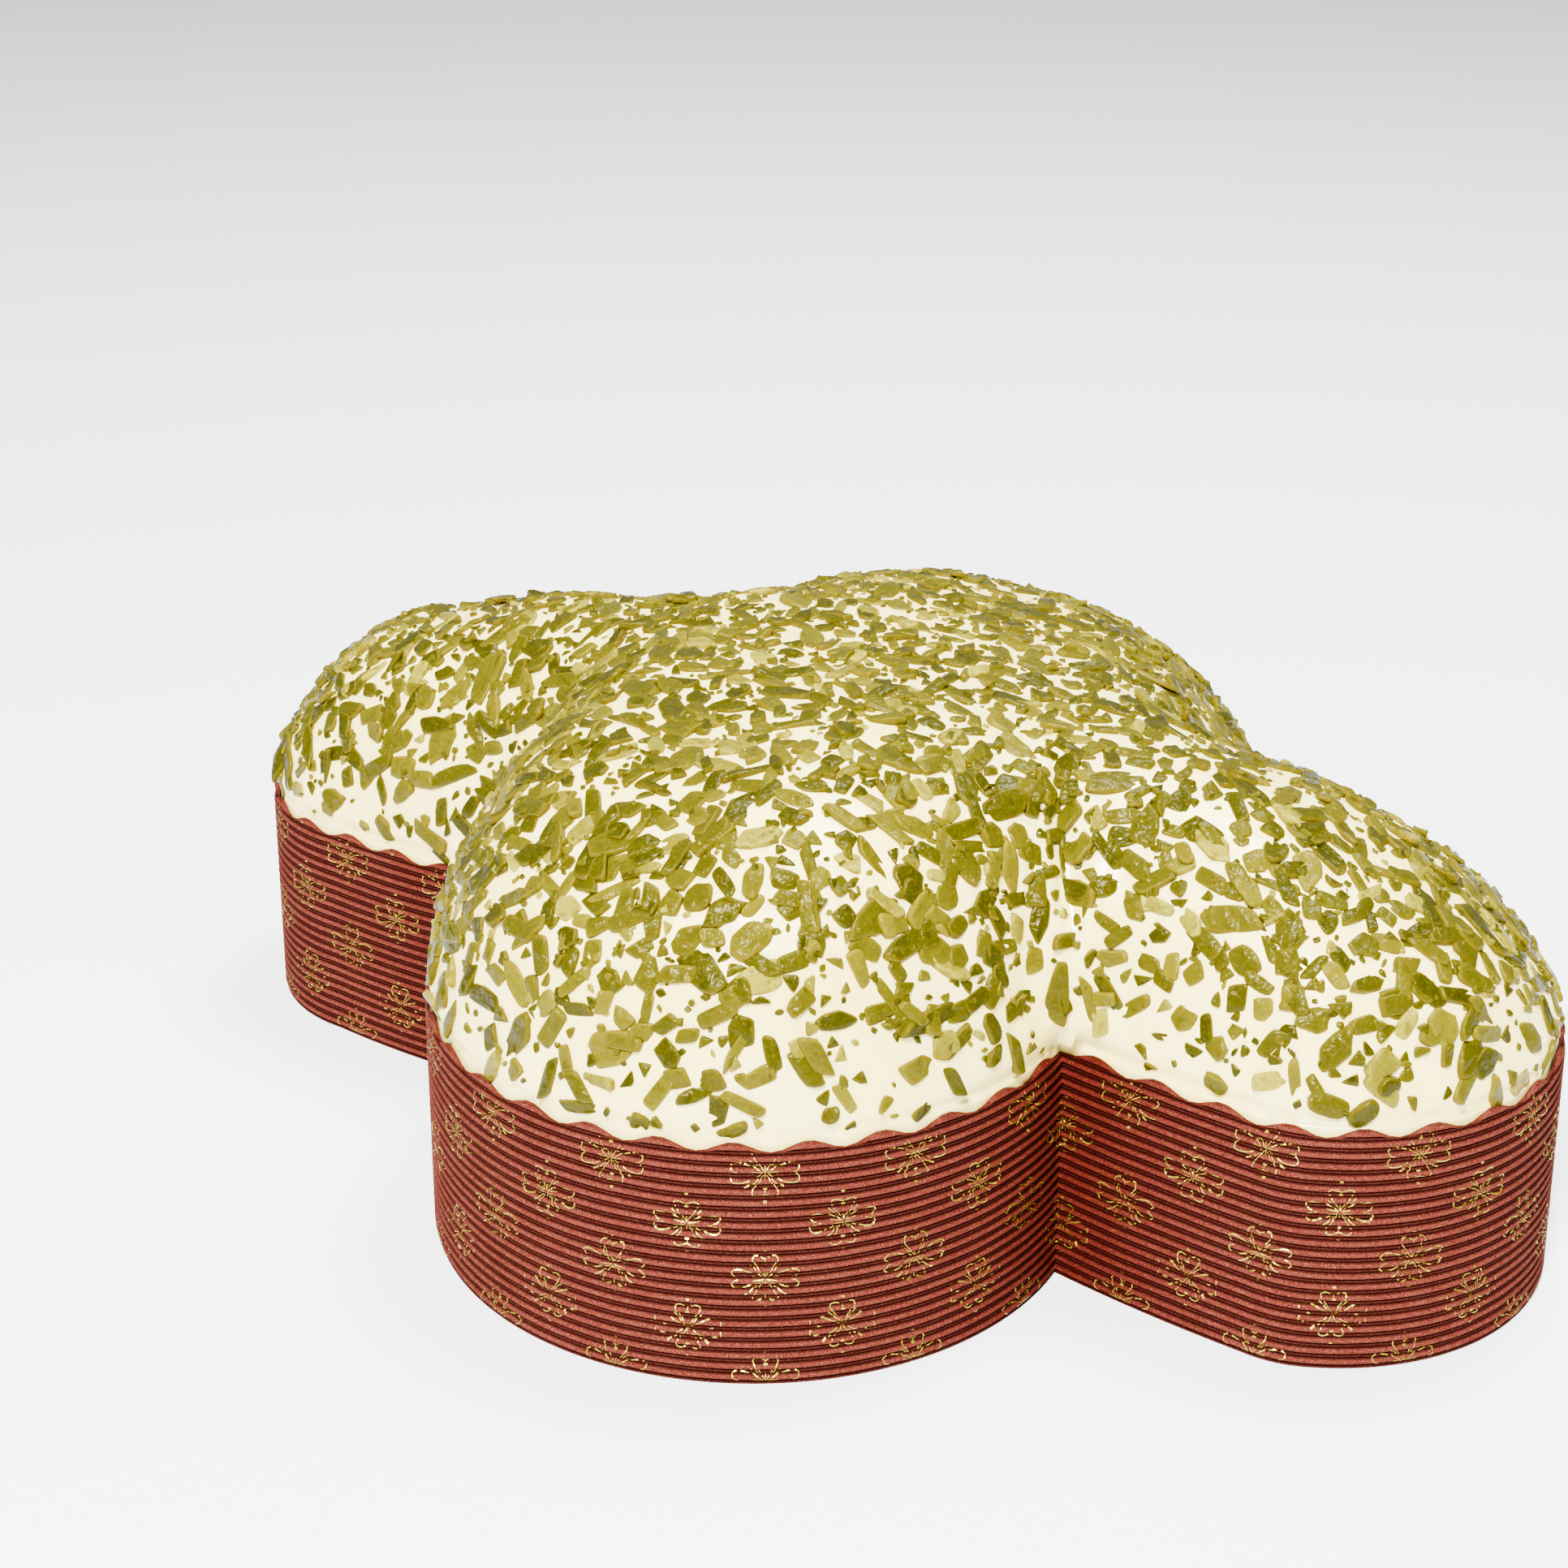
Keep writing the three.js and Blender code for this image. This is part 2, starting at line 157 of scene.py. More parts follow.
class Sheet:
    """A material's node tree with short ways to add nodes to it."""

    def __init__(self, name: str) -> None:
        """Starts a material with one Principled shader."""
        self.material = bpy.data.materials.new(name)
        self.material.use_nodes = True
        self.tree = self.material.node_tree
        self.shader = self.tree.nodes["Principled BSDF"]

    def node(self, kind: str, **settings: Any) -> bpy.types.Node:
        """Adds a node and sets its properties."""
        made = self.tree.nodes.new("ShaderNode" + kind)
        for key, value in settings.items():
            setattr(made, key, value)
        return made

    def join(self, source: Any, target: Any) -> None:
        """Feeds a socket from another socket, or sets it to a plain value."""
        if isinstance(source, bpy.types.NodeSocket):
            self.tree.links.new(source, target)
        else:
            target.default_value = source

    def place(self) -> Any:
        """Object coordinates in metres."""
        return self.node("TexCoord").outputs["Object"]

    def stored(self, name: str) -> Any:
        """A number stored on the mesh's points."""
        return self.node("Attribute", attribute_name=name).outputs["Fac"]

    def grain(self, size: float, detail: float = 2, rough: float = 0.5, stretch: Sequence[float] = (1, 1, 1)) -> Any:
        """Noise from 0 to 1.

        Args:
            size: The width of its grains in millimetres.
            detail: How many finer layers it has.
            rough: How strong the finer layers are.
            stretch: How much finer it is along X, Y and Z.

        Returns:
            The noise's socket.
        """
        mapping = self.node("Mapping")
        mapping.inputs["Scale"].default_value = stretch
        self.join(self.place(), mapping.inputs["Vector"])
        made = self.node("TexNoise")
        self.join(mapping.outputs["Vector"], made.inputs["Vector"])
        made.inputs["Scale"].default_value = 1 / (size * METRES)
        made.inputs["Detail"].default_value = detail
        made.inputs["Roughness"].default_value = rough
        return made.outputs["Fac"]

    def ranged(self, source: Any, low: float, high: float, to_low: float = 0, to_high: float = 1) -> Any:
        """Maps the range low to high onto another range, clamped."""
        made = self.node("MapRange", clamp=True)
        self.join(source, made.inputs["Value"])
        for key, value in (("From Min", low), ("From Max", high), ("To Min", to_low), ("To Max", to_high)):
            made.inputs[key].default_value = value
        return made.outputs["Result"]

    def sum(self, kind: str, first: Any, second: Any) -> Any:
        """One step of arithmetic on two sockets or numbers."""
        made = self.node("Math", operation=kind)
        self.join(first, made.inputs[0])
        self.join(second, made.inputs[1])
        return made.outputs[0]

    def blend(self, share: Any, first: Any, second: Any, kind: str = "MIX") -> Any:
        """Mixes two colours by a share from 0 to 1."""
        made = self.node("Mix", data_type="RGBA", blend_type=kind)
        self.join(share, made.inputs["Factor"])
        self.join(first, made.inputs[6])
        self.join(second, made.inputs[7])
        return made.outputs[2]

    def ramp(self, source: Any, stops: Sequence[tuple[float, tuple[float, ...]]]) -> Any:
        """Colours along a scale from 0 to 1.

        Args:
            source: The socket that is looked up.
            stops: Places from 0 to 1 with their colours.

        Returns:
            The colour's socket.
        """
        made = self.node("ValToRGB")
        bar = made.color_ramp.elements
        while len(bar) < len(stops):
            bar.new(0.5)
        for element, (place, colour) in zip(bar, stops):
            element.position = place
            element.color = colour
        self.join(source, made.inputs["Fac"])
        return made.outputs["Color"]

    def bump(self, layers: Sequence[tuple[Any, float]]) -> None:
        """Gives the shader relief.

        Args:
            layers: Height sockets, each with its full height in millimetres.
        """
        normal = None
        for height, depth in layers:
            made = self.node("Bump")
            made.inputs["Strength"].default_value = 1
            made.inputs["Distance"].default_value = depth * METRES
            self.join(height, made.inputs["Height"])
            if normal is not None:
                self.join(normal, made.inputs["Normal"])
            normal = made.outputs["Normal"]
        self.join(normal, self.shader.inputs["Normal"])
        self.join(normal, self.shader.inputs["Coat Normal"])

    def set(self, **values: Any) -> None:
        """Feeds or sets the shader's sockets. An underscore in a name stands for a space."""
        for key, value in values.items():
            self.join(value, self.shader.inputs[key.replace("_", " ")])


@dataclass(frozen=True)
class PaperFinish:
    """Brick-red fluted paper: pressed fibres, grooves darkened with painted shade, and pale specks on the ridges that
    are partly wear and partly painted sheen.
    """

    ridge: tuple[float, ...] = linear(107, 51, 39)
    # Pale specks, partly wear and partly painted sheen.
    wear_and_sheen: tuple[float, ...] = linear(175, 112, 91)
    # Near-black red, painted as shade in the grooves.
    groove: tuple[float, ...] = linear(18, 0, 0)
    flank: tuple[float, ...] = linear(58, 15, 10)
    # Painted shade near the notches: this tint multiplies the paper's colour there.
    notch_shade_tint: tuple[float, ...] = linear(188, 124, 108)

    def material(self) -> bpy.types.Material:
        """Returns the material."""
        sheet = Sheet("brick_paper")
        fibres = sheet.grain(0.35, 3, 0.7)
        speckle = sheet.grain(0.22, 1, 0.5)
        blotches = sheet.grain(9, 3, 0.55)
        hollow = sheet.stored("hollow")
        base = sheet.blend(sheet.ranged(fibres, 0.35, 0.7), self.flank, self.ridge)
        # Pale specks over the paper, partly wear and partly painted sheen glints.
        base = sheet.blend(sheet.ranged(speckle, 0.6, 0.8, 0, 0.75), base, self.wear_and_sheen)
        base = sheet.blend(sheet.ranged(blotches, 0.3, 0.75, 0, 0.3), base, self.flank)
        # Painted shade: the paper darkens towards the groove colour the further it lies behind its ridges.
        shade = sheet.ramp(hollow, [(0, (0, 0, 0, 1)), (0.22, (0.12,) * 3 + (1,)), (0.52, (0.75,) * 3 + (1,)), (0.82, (1, 1, 1, 1))])
        # Painted shade: darkens the paper near each notch.
        base = sheet.blend(sheet.stored("painted_notch_shade"), base, self.notch_shade_tint, "MULTIPLY")
        colour = sheet.blend(shade, base, self.groove)
        sheet.set(Base_Color=colour, Roughness=sheet.ranged(blotches, 0, 1, 0.55, 0.8))
        sheet.set(Specular_IOR_Level=0.01)
        sheet.bump([(fibres, 0.05), (speckle, 0.03)])
        return sheet.material


@dataclass(frozen=True)
class GoldFinish:
    """Thin gold foil pressed on paper."""

    bright: tuple[float, ...] = linear(214, 194, 52)
    dull: tuple[float, ...] = linear(130, 113, 16)

    def material(self) -> bpy.types.Material:
        """Returns the material."""
        sheet = Sheet("pressed_gold")
        patches = sheet.grain(0.7, 3, 0.6)
        sheet.set(Base_Color=sheet.blend(sheet.ranged(patches, 0.3, 0.7), self.dull, self.bright))
        sheet.set(Metallic=0.95, Roughness=sheet.ranged(patches, 0.2, 0.8, 0.26, 0.46))
        sheet.bump([(patches, 0.04)])
        return sheet.material


@dataclass(frozen=True)
class CrustFinish:
    """Baked golden-brown crust with fine pores."""

    light: tuple[float, ...] = linear(205, 140, 70)
    dark: tuple[float, ...] = linear(138, 72, 28)

    def material(self) -> bpy.types.Material:
        """Returns the material."""
        sheet = Sheet("baked_crust")
        browning = sheet.grain(14, 4, 0.6)
        pores = sheet.grain(1.4, 3, 0.6)
        colour = sheet.blend(sheet.ranged(browning, 0.3, 0.7), self.light, self.dark)
        sheet.set(Base_Color=sheet.blend(sheet.ranged(pores, 0.6, 0.8, 0, 0.5), colour, self.dark), Roughness=0.75)
        sheet.bump([(browning, 0.6), (pores, 0.3)])
        return sheet.material


@dataclass(frozen=True)
class GlazeFinish:
    """Ivory glaze, satin to glossy, slightly cloudy."""

    light: tuple[float, ...] = linear(254, 236, 143)
    warm: tuple[float, ...] = linear(250, 225, 121)

    def material(self) -> bpy.types.Material:
        """Returns the material."""
        sheet = Sheet("ivory_glaze")
        clouds = sheet.grain(22, 3, 0.5)
        ripples = sheet.grain(4.5, 2, 0.5)
        specks = sheet.grain(0.9, 2, 0.5)
        sheet.set(Base_Color=sheet.blend(sheet.ranged(clouds, 0.3, 0.7), self.light, self.warm))
        sheet.set(Roughness=sheet.ranged(ripples, 0.2, 0.8, 0.26, 0.42))
        sheet.set(Subsurface_Weight=0.18, Subsurface_Radius=(1.0, 0.8, 0.5), Subsurface_Scale=0.004)
        sheet.set(Coat_Weight=0.15, Coat_Roughness=0.2)
        sheet.bump([(ripples, 0.25), (specks, 0.02)])
        return sheet.material


@dataclass(frozen=True)
class PistachioFinish:
    """Chopped pistachio, wet with glaze: olive green, amber at its thin edges, some pieces pale."""

    deep: tuple[float, ...] = linear(38, 37, 0)
    olive: tuple[float, ...] = linear(70, 64, 0)
    fresh: tuple[float, ...] = linear(100, 90, 0)
    pale: tuple[float, ...] = linear(158, 147, 32)
    amber: tuple[float, ...] = linear(94, 80, 0)
    sheen: tuple[float, ...] = linear(255, 238, 130)

    def material(self) -> bpy.types.Material:
        """Returns the material."""
        sheet = Sheet("chopped_pistachio")
        mottle = sheet.grain(2.2, 2, 0.5)
        fine = sheet.grain(0.6, 2, 0.6)
        tone = sheet.sum("ADD", sheet.stored("tone"), sheet.ranged(mottle, 0.3, 0.7, -0.18, 0.18))
        colour = sheet.ramp(tone, [(0.0, self.deep), (0.45, self.olive), (0.8, self.fresh), (1.0, self.pale)])
        heart = sheet.sum("SUBTRACT", sheet.ranged(mottle, 0.35, 0.65), sheet.stored("rim"))
        colour = sheet.blend(sheet.ranged(heart, 0, 1, 0, 0.75), colour, self.deep)
        colour = sheet.blend(sheet.ranged(fine, 0.55, 0.8, 0, 0.12), colour, self.pale)
        colour = sheet.blend(sheet.ranged(sheet.stored("rim"), 0.15, 0.95, 0, 0.5), colour, self.amber)
        sheet.set(Base_Color=colour, Roughness=sheet.ranged(fine, 0.3, 0.7, 0.25, 0.4))
        sheet.set(Subsurface_Weight=0.12, Subsurface_Radius=(1.0, 0.9, 0.3), Subsurface_Scale=0.0015)
        sheet.set(Specular_IOR_Level=0.1, Specular_Tint=self.sheen, Coat_Weight=0.02, Coat_IOR=2.0, Coat_Roughness=0.09)
        sheet.bump([(mottle, 0.6), (fine, 0.06)])
        return sheet.material


@dataclass(frozen=True)
class FloorFinish:
    """A plain pale studio floor."""

    tint: tuple[float, ...] = linear(246, 246, 246)

    def material(self) -> bpy.types.Material:
        """Returns the material."""
        sheet = Sheet("pale_floor")
        sheet.set(Base_Color=self.tint, Roughness=0.6, Specular_IOR_Level=0.2)
        return sheet.material


# ----------------------------------------------------------------- plan shape


@dataclass(frozen=True)
class CasePlan:
    """The outline of the case seen from above, which is the same on both sides of the X axis."""

    head_centre: float = -117.5
    head_radius: float = 37.5
    head_side_bulge: float = 1.8
    wing_x: float = 4.0
    wing_y: float = 47.5
    wing_radius: float = 67.2
    wing_start_deg: float = -5.0
    wing_end_deg: float = 188.3
    tail_tip: float = 155.0
    tail_corner_x: float = 116.0
    tail_corner_y: float = 25.0
    tail_corner_radius: float = 22.5
    tail_side_bulge: float = 0.7

    @staticmethod
    def arc(centre: Sequence[float], radius: float, start: float, end: float, count: int = 400) -> np.ndarray:
        """Points on a circle from one angle to another, in radians."""
        angles = np.linspace(start, end, count)
        return np.stack([centre[0] + radius * np.cos(angles), centre[1] + radius * np.sin(angles)], 1)

    @staticmethod
    def bulging(start: np.ndarray, end: np.ndarray, bulge: float, count: int = 200) -> np.ndarray:
        """A shallow curve that bulges to the left of its chord by a given height."""
        chord = end - start
        left = np.array([-chord[1], chord[0]]) / np.hypot(*chord)
        middle = (start + end) / 2 + 2 * bulge * left
        share = np.linspace(0, 1, count)[:, None]
        return (1 - share) ** 2 * start + 2 * share * (1 - share) * middle + share**2 * end

    @staticmethod
    def touch(start: np.ndarray, centre: np.ndarray, radius: float, side: int) -> float:
        """The angle of the point of a circle where a line from an outside point touches it."""
        away = start - centre
        return math.atan2(away[1], away[0]) + side * math.acos(radius / np.hypot(*away))

    def lobes(self) -> list[np.ndarray]:
        """The far wing, tail, near wing and head as fine lines, clockwise from the far head notch."""
        flip = np.array([1.0, -1.0])
        wing = np.array([self.wing_x, self.wing_y])
        start, end = math.radians(self.wing_start_deg), math.radians(self.wing_end_deg)
        far_wing = self.arc(wing, self.wing_radius, end, start)
        corner = np.array([self.tail_corner_x, self.tail_corner_y])
        reach = self.tail_tip - self.tail_corner_radius
        end_x = (corner @ corner - reach**2) / (2 * (corner[0] - reach))
        end_angle = math.atan2(corner[1], corner[0] - end_x)
        tail_notch = far_wing[-1]
        corner_angle = self.touch(tail_notch, corner, self.tail_corner_radius, -1)
        corner_line = self.arc(corner, self.tail_corner_radius, corner_angle, end_angle)
        tail_end = self.arc((end_x, 0), self.tail_tip - end_x, end_angle, 0)
        half_tail = np.vstack([self.bulging(tail_notch, corner_line[0], self.tail_side_bulge), corner_line[1:], tail_end[1:]])
        tail = np.vstack([half_tail, (half_tail * flip)[::-1][1:]])
        head = np.array([self.head_centre, 0.0])
        head_notch = far_wing[0]
        head_angle = self.touch(head_notch, head, self.head_radius, 1)
        head_line = self.arc(head, self.head_radius, math.pi, head_angle)
        half_head = np.vstack([head_line, self.bulging(head_line[-1], head_notch, self.head_side_bulge)[1:]])
        whole_head = np.vstack([(half_head * flip)[::-1], half_head[1:]])
        return [far_wing, tail, (far_wing * flip)[::-1], whole_head]

    def outline(self, per_lobe: int) -> np.ndarray:
        """Points evenly spaced along each lobe, counter-clockwise, with the last one on a notch.

        Args:
            per_lobe: How many points each lobe has.

        Returns:
            The points, one a row.
        """
        points = []
        for line in self.lobes():
            along = np.concatenate([[0], np.cumsum(np.hypot(*np.diff(line, axis=0).T))])
            wanted = np.linspace(0, along[-1], per_lobe + 1)[:-1]
            points.append(np.stack([np.interp(wanted, along, line[:, k]) for k in (0, 1)], 1))
        return np.vstack(points)[::-1]

    @staticmethod
    def inward(points: np.ndarray) -> np.ndarray:
        """For each point of an outline, the step that moves its two sides inwards by 1."""
        before = points - np.roll(points, 1, 0)
        after = np.roll(points, -1, 0) - points
        before /= np.hypot(*before.T)[:, None]
        after /= np.hypot(*after.T)[:, None]
        left = np.stack([-(before + after)[:, 1], (before + after)[:, 0]], 1)
        left /= np.hypot(*left.T)[:, None]
        mitre = left[:, 0] * -before[:, 1] + left[:, 1] * before[:, 0]
        return left / mitre[:, None]


@dataclass(frozen=True)
class CrownShape:
    """The height of the loaf above its case, measured to the outside of the glaze."""

    plan: CasePlan
    case_height: float = 50.0
    half_length: float = 150.0
    half_width: float = 110.0
    rise: float = 57.0
    fall_along: float = 0.395
    fall_across: float = 0.205
    lean_along: float = 0.06
    lean_across: float = 0.065
    twist: float = 0.23
    edge_rounding: float = 31.6
    edge_power: float = 0.635
    notch_fill: float = 0.35
    notch_reach: float = 38.0
    notch_smoothing: float = 20.0
    smoothing_share: float = 0.75
    smoothing_samples: int = 12
    blending: float = 3.0
    outline_per_lobe: int = 52
    batch: int = 20000

    def depth(self, points: np.ndarray) -> np.ndarray:
        """How deep points lie inside the outline.

        Beside a long straight side it is the distance to that side. It grows faster beside a notch and slower
        in a narrow lobe.

        Args:
            points: Points in plan, one a row.

        Returns:
            One depth for each point.
        """
        start = self.plan.outline(self.outline_per_lobe)
        end = np.roll(start, -1, 0)
        side = np.hypot(*(end - start).T)
        depths = []
        for first in range(0, len(points), self.batch):
            some = points[first : first + self.batch, None, :]
            to_start = start - some
            to_end = end - some
            across = np.abs(to_start[..., 0] * to_end[..., 1] - to_start[..., 1] * to_end[..., 0])
            seen = np.arctan2(across, (to_start * to_end).sum(-1))
            depths.append(math.pi / (seen * side / np.maximum(across, 1e-9)).sum(1))
        return np.concatenate(depths)

    def dome(self, points: np.ndarray, depth: np.ndarray) -> np.ndarray:
        """The height above the rim at points in plan that lie at known depths."""
        along = points[:, 0] / self.half_length
        across = points[:, 1] / self.half_width
        fall = self.fall_along * along**2 + self.fall_across * across**2
        lean = self.lean_along * along + self.lean_across * across + self.twist * along * across
        short = 1 - np.minimum(depth / self.edge_rounding, 1)
        return self.rise * (1 - fall - lean) * (1 - short**2) ** self.edge_power

    def height(self, points: np.ndarray) -> np.ndarray:
        """The height above the rim, with the valleys at the notches filled and softened.

        Args:
            points: Points in plan, one a row.

        Returns:
            One height for each point.
        """
        outline = self.plan.outline(self.outline_per_lobe)
        notches = outline[self.outline_per_lobe - 1 :: self.outline_per_lobe]
        to_notch = np.hypot(*(points[:, None, :] - notches).transpose(2, 0, 1)).min(1)
        closeness = np.maximum(np.exp(-((to_notch / self.notch_reach) ** 2)), 1e-6)
        most = self.notch_smoothing * closeness
        least = np.maximum(self.smoothing_share * self.depth(points), 1e-6)
        radius = (most**-self.blending + least**-self.blending) ** (-1 / self.blending)
        total = np.zeros(len(points))
        for turn in range(self.smoothing_samples):
            angle = 2 * math.pi * turn / self.smoothing_samples
            sample = points + radius[:, None] * np.array([math.cos(angle), math.sin(angle)])
            total += self.dome(sample, self.depth(sample) * (1 + self.notch_fill * closeness))
        return total / self.smoothing_samples


# ------------------------------------------------------------------ paper case


@dataclass
class PaperCase:
    """The low case of fluted paper with a scalloped rim."""

    plan: CasePlan
    height: float = 50.0
    wall: float = 1.3
    floor: float = 1.0
    scallop_depth: float = 2.1
    scallops_per_lobe: int = 16
    columns_per_lobe: int = 112
    flute_pitch: float = 2.33
    flute_depth: float = 0.9
    first_flute: float = 0.7
    inner_depth: float = 8.0
    waviness: float = 0.22
    # Painted shade near the notches: its strength, and its spread in columns of the outline.
    notch_shade_strength: float = 0.85
    notch_shade_columns: float = 14.0
    ridge_share: float = 0.65
    samples: tuple[float, ...] = (0.0, 0.05, 0.15, 0.32, 0.5, 0.61, 0.66, 0.75, 0.86, 0.95)
    outline: np.ndarray = field(init=False)
    inward: np.ndarray = field(init=False)

    def __post_init__(self) -> None:
        """Works out the outline once."""
        self.outline = self.plan.outline(self.columns_per_lobe)
        self.inward = self.plan.inward(self.outline)

    def hollow(self, level: np.ndarray) -> np.ndarray:
        """How far the paper lies behind its ridges at a level, from 0 on a ridge to 1 in a groove.

        Each flute is a broad rounded ridge, a fine groove, a low narrow ridge and another fine groove.
        """
        turn = ((level - self.first_flute) / self.flute_pitch) % 1.0
        broad = np.clip(turn / self.ridge_share, 0, 1)
        narrow = np.clip((turn - self.ridge_share) / (1 - self.ridge_share), 0, 1)
        broad_rise = np.sin(np.pi * broad) ** 0.6
        narrow_rise = 0.55 * np.sin(np.pi * narrow) ** 0.7
        return 1 - np.where(turn < self.ridge_share, broad_rise, narrow_rise)

    def rim(self, turns: np.ndarray) -> np.ndarray:
        """The height of the scalloped rim, which is low on each notch.

        Args:
            turns: Places along the outline, counted in points of the outline.

        Returns:
            One height for each place.
        """
        per_scallop = self.columns_per_lobe / self.scallops_per_lobe
        return self.height - self.scallop_depth / 2 * np.cos(2 * np.pi * (turns + 1) / per_scallop)

    def notch_shading(self) -> np.ndarray:
        """How much painted shade each point of the outline gets near a notch, from 0."""
        past = (np.arange(len(self.outline)) + 1) % self.columns_per_lobe
        to_notch = np.minimum(past, self.columns_per_lobe - past) / self.notch_shade_columns
        return self.notch_shade_strength * np.exp(-(to_notch**2))

    def sway(self, place: np.ndarray, level: np.ndarray) -> np.ndarray:
        """How far the flutes wander up or down, in millimetres, fading out at the foot and the rim."""
        swell = waves(np.column_stack([place, level]), 34, 3.1) + 0.5 * waves(np.column_stack([place, level]), 11, 5.7)
        calm = smoothstep(0, 6, level) * (1 - smoothstep(43, 48, level))
        return self.waviness * swell * calm

    def build(self) -> bpy.types.Object:
        """Builds the case.

        Returns:
            The piece, which replaces the CAD node paper_case.
        """
        count = len(self.outline)
        top = self.height + self.scallop_depth
        flutes = math.ceil((top - self.first_flute) / self.flute_pitch)
        levels = [0.0, 0.25]
        for flute in range(flutes):
            levels += [self.first_flute + (flute + s) * self.flute_pitch for s in self.samples]
        rims = self.rim(np.arange(count))
        rows = []
        hollows = []
        for level in levels:
            if level >= rims.max():
                break
            at = np.minimum(level, rims)
            # The foot rows below the first flute take fixed hollows, which tuck them in and also give them painted
            # groove shade.
            hollow = self.hollow(at) if level >= self.first_flute else np.full(count, 0.55 if level == 0 else 0.3)
            place = self.outline + self.inward * (self.flute_depth * hollow)[:, None]
            swayed = at + self.sway(self.outline, at)
            rows.append(np.column_stack([place, swayed]))
            hollows.append(hollow)
        edge_hollow = self.hollow(rims)
        outer_edge = self.outline + self.inward * (self.flute_depth * edge_hollow)[:, None]
        rows.append(np.column_stack([outer_edge, rims]))
        hollows.append(edge_hollow)
        inner = self.outline + self.inward * (self.wall + 0.1)
        for level in (rims, rims - 0.6, np.full(count, self.height - self.inner_depth), np.full(count, self.floor)):
            rows.append(np.column_stack([inner, level]))
            # The inside takes a hollow of 0.2, which gives it a little painted groove shade.
            hollows.append(np.full(count, 0.2))
        faces = grid_faces(len(rows), count)
        last = (len(rows) - 1) * count
        faces.append(tuple(range(count))[::-1])
        faces.append(tuple(range(last, last + count)))
        made = make_mesh("fluted_paper_case", np.vstack(rows), [])
        made = self.closed(made, np.vstack(rows), faces, np.concatenate(hollows), np.tile(self.notch_shading(), len(rows)))
        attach(made, ROOT)
        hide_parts("paper_case")
        made.data.materials.append(PaperFinish().material())
        return made

    @staticmethod
    def closed(
        made: bpy.types.Object, points: np.ndarray, faces: list[tuple[int, ...]], hollows: np.ndarray, notch_shades: np.ndarray
    ) -> bpy.types.Object:
        """Merges the points that meet where the rim cuts the flutes, and fills the object's mesh.

        Args:
            made: The object that takes the mesh.
            points: All points in millimetres.
            faces: All faces.
            hollows: How far each point lies behind the ridges.
            notch_shades: How much painted shade each point gets near a notch.

        Returns:
            The same object.
        """
        _, first, back = np.unique(np.round(points, 4), axis=0, return_index=True, return_inverse=True)
        back = back.reshape(-1)
        kept = []
        for face in faces:
            corners = []
            for point in (int(back[p]) for p in face):
                if point not in corners or len(face) > 4:
                    corners.append(point)
            if len(corners) > 2:
                kept.append(tuple(corners))
        made.data.clear_geometry()
        made.data.from_pydata((points[first] * METRES).tolist(), [], kept)
        made.data.validate()
        made.data.shade_smooth()
        set_number(made, "hollow", hollows[first])
        # Stores the painted shade near the notches for the material.
        set_number(made, "painted_notch_shade", notch_shades[first])
        return made


# -------------------------------------------------------------- gold ornament


def rounded(points: Sequence[tuple[float, ...]], steps: int = 7) -> np.ndarray:
    """A smooth line through points.

    Args:
        points: The points it passes.
        steps: How many steps it takes between two of them.

    Returns:
        The line's points.
    """
    held = np.array([points[0], *points, points[-1]], float)
    line = []
    for i in range(1, len(held) - 2):
        before, start, end, after = held[i - 1 : i + 3]
        for step in range(steps):
            t = step / steps
            line.append(
                0.5 * (2 * start + (end - before) * t + (2 * before - 5 * start + 4 * end - after) * t**2
                       + (3 * start - before - 3 * end + after) * t**3)
            )
    line.append(held[-1])
    return np.array(line)


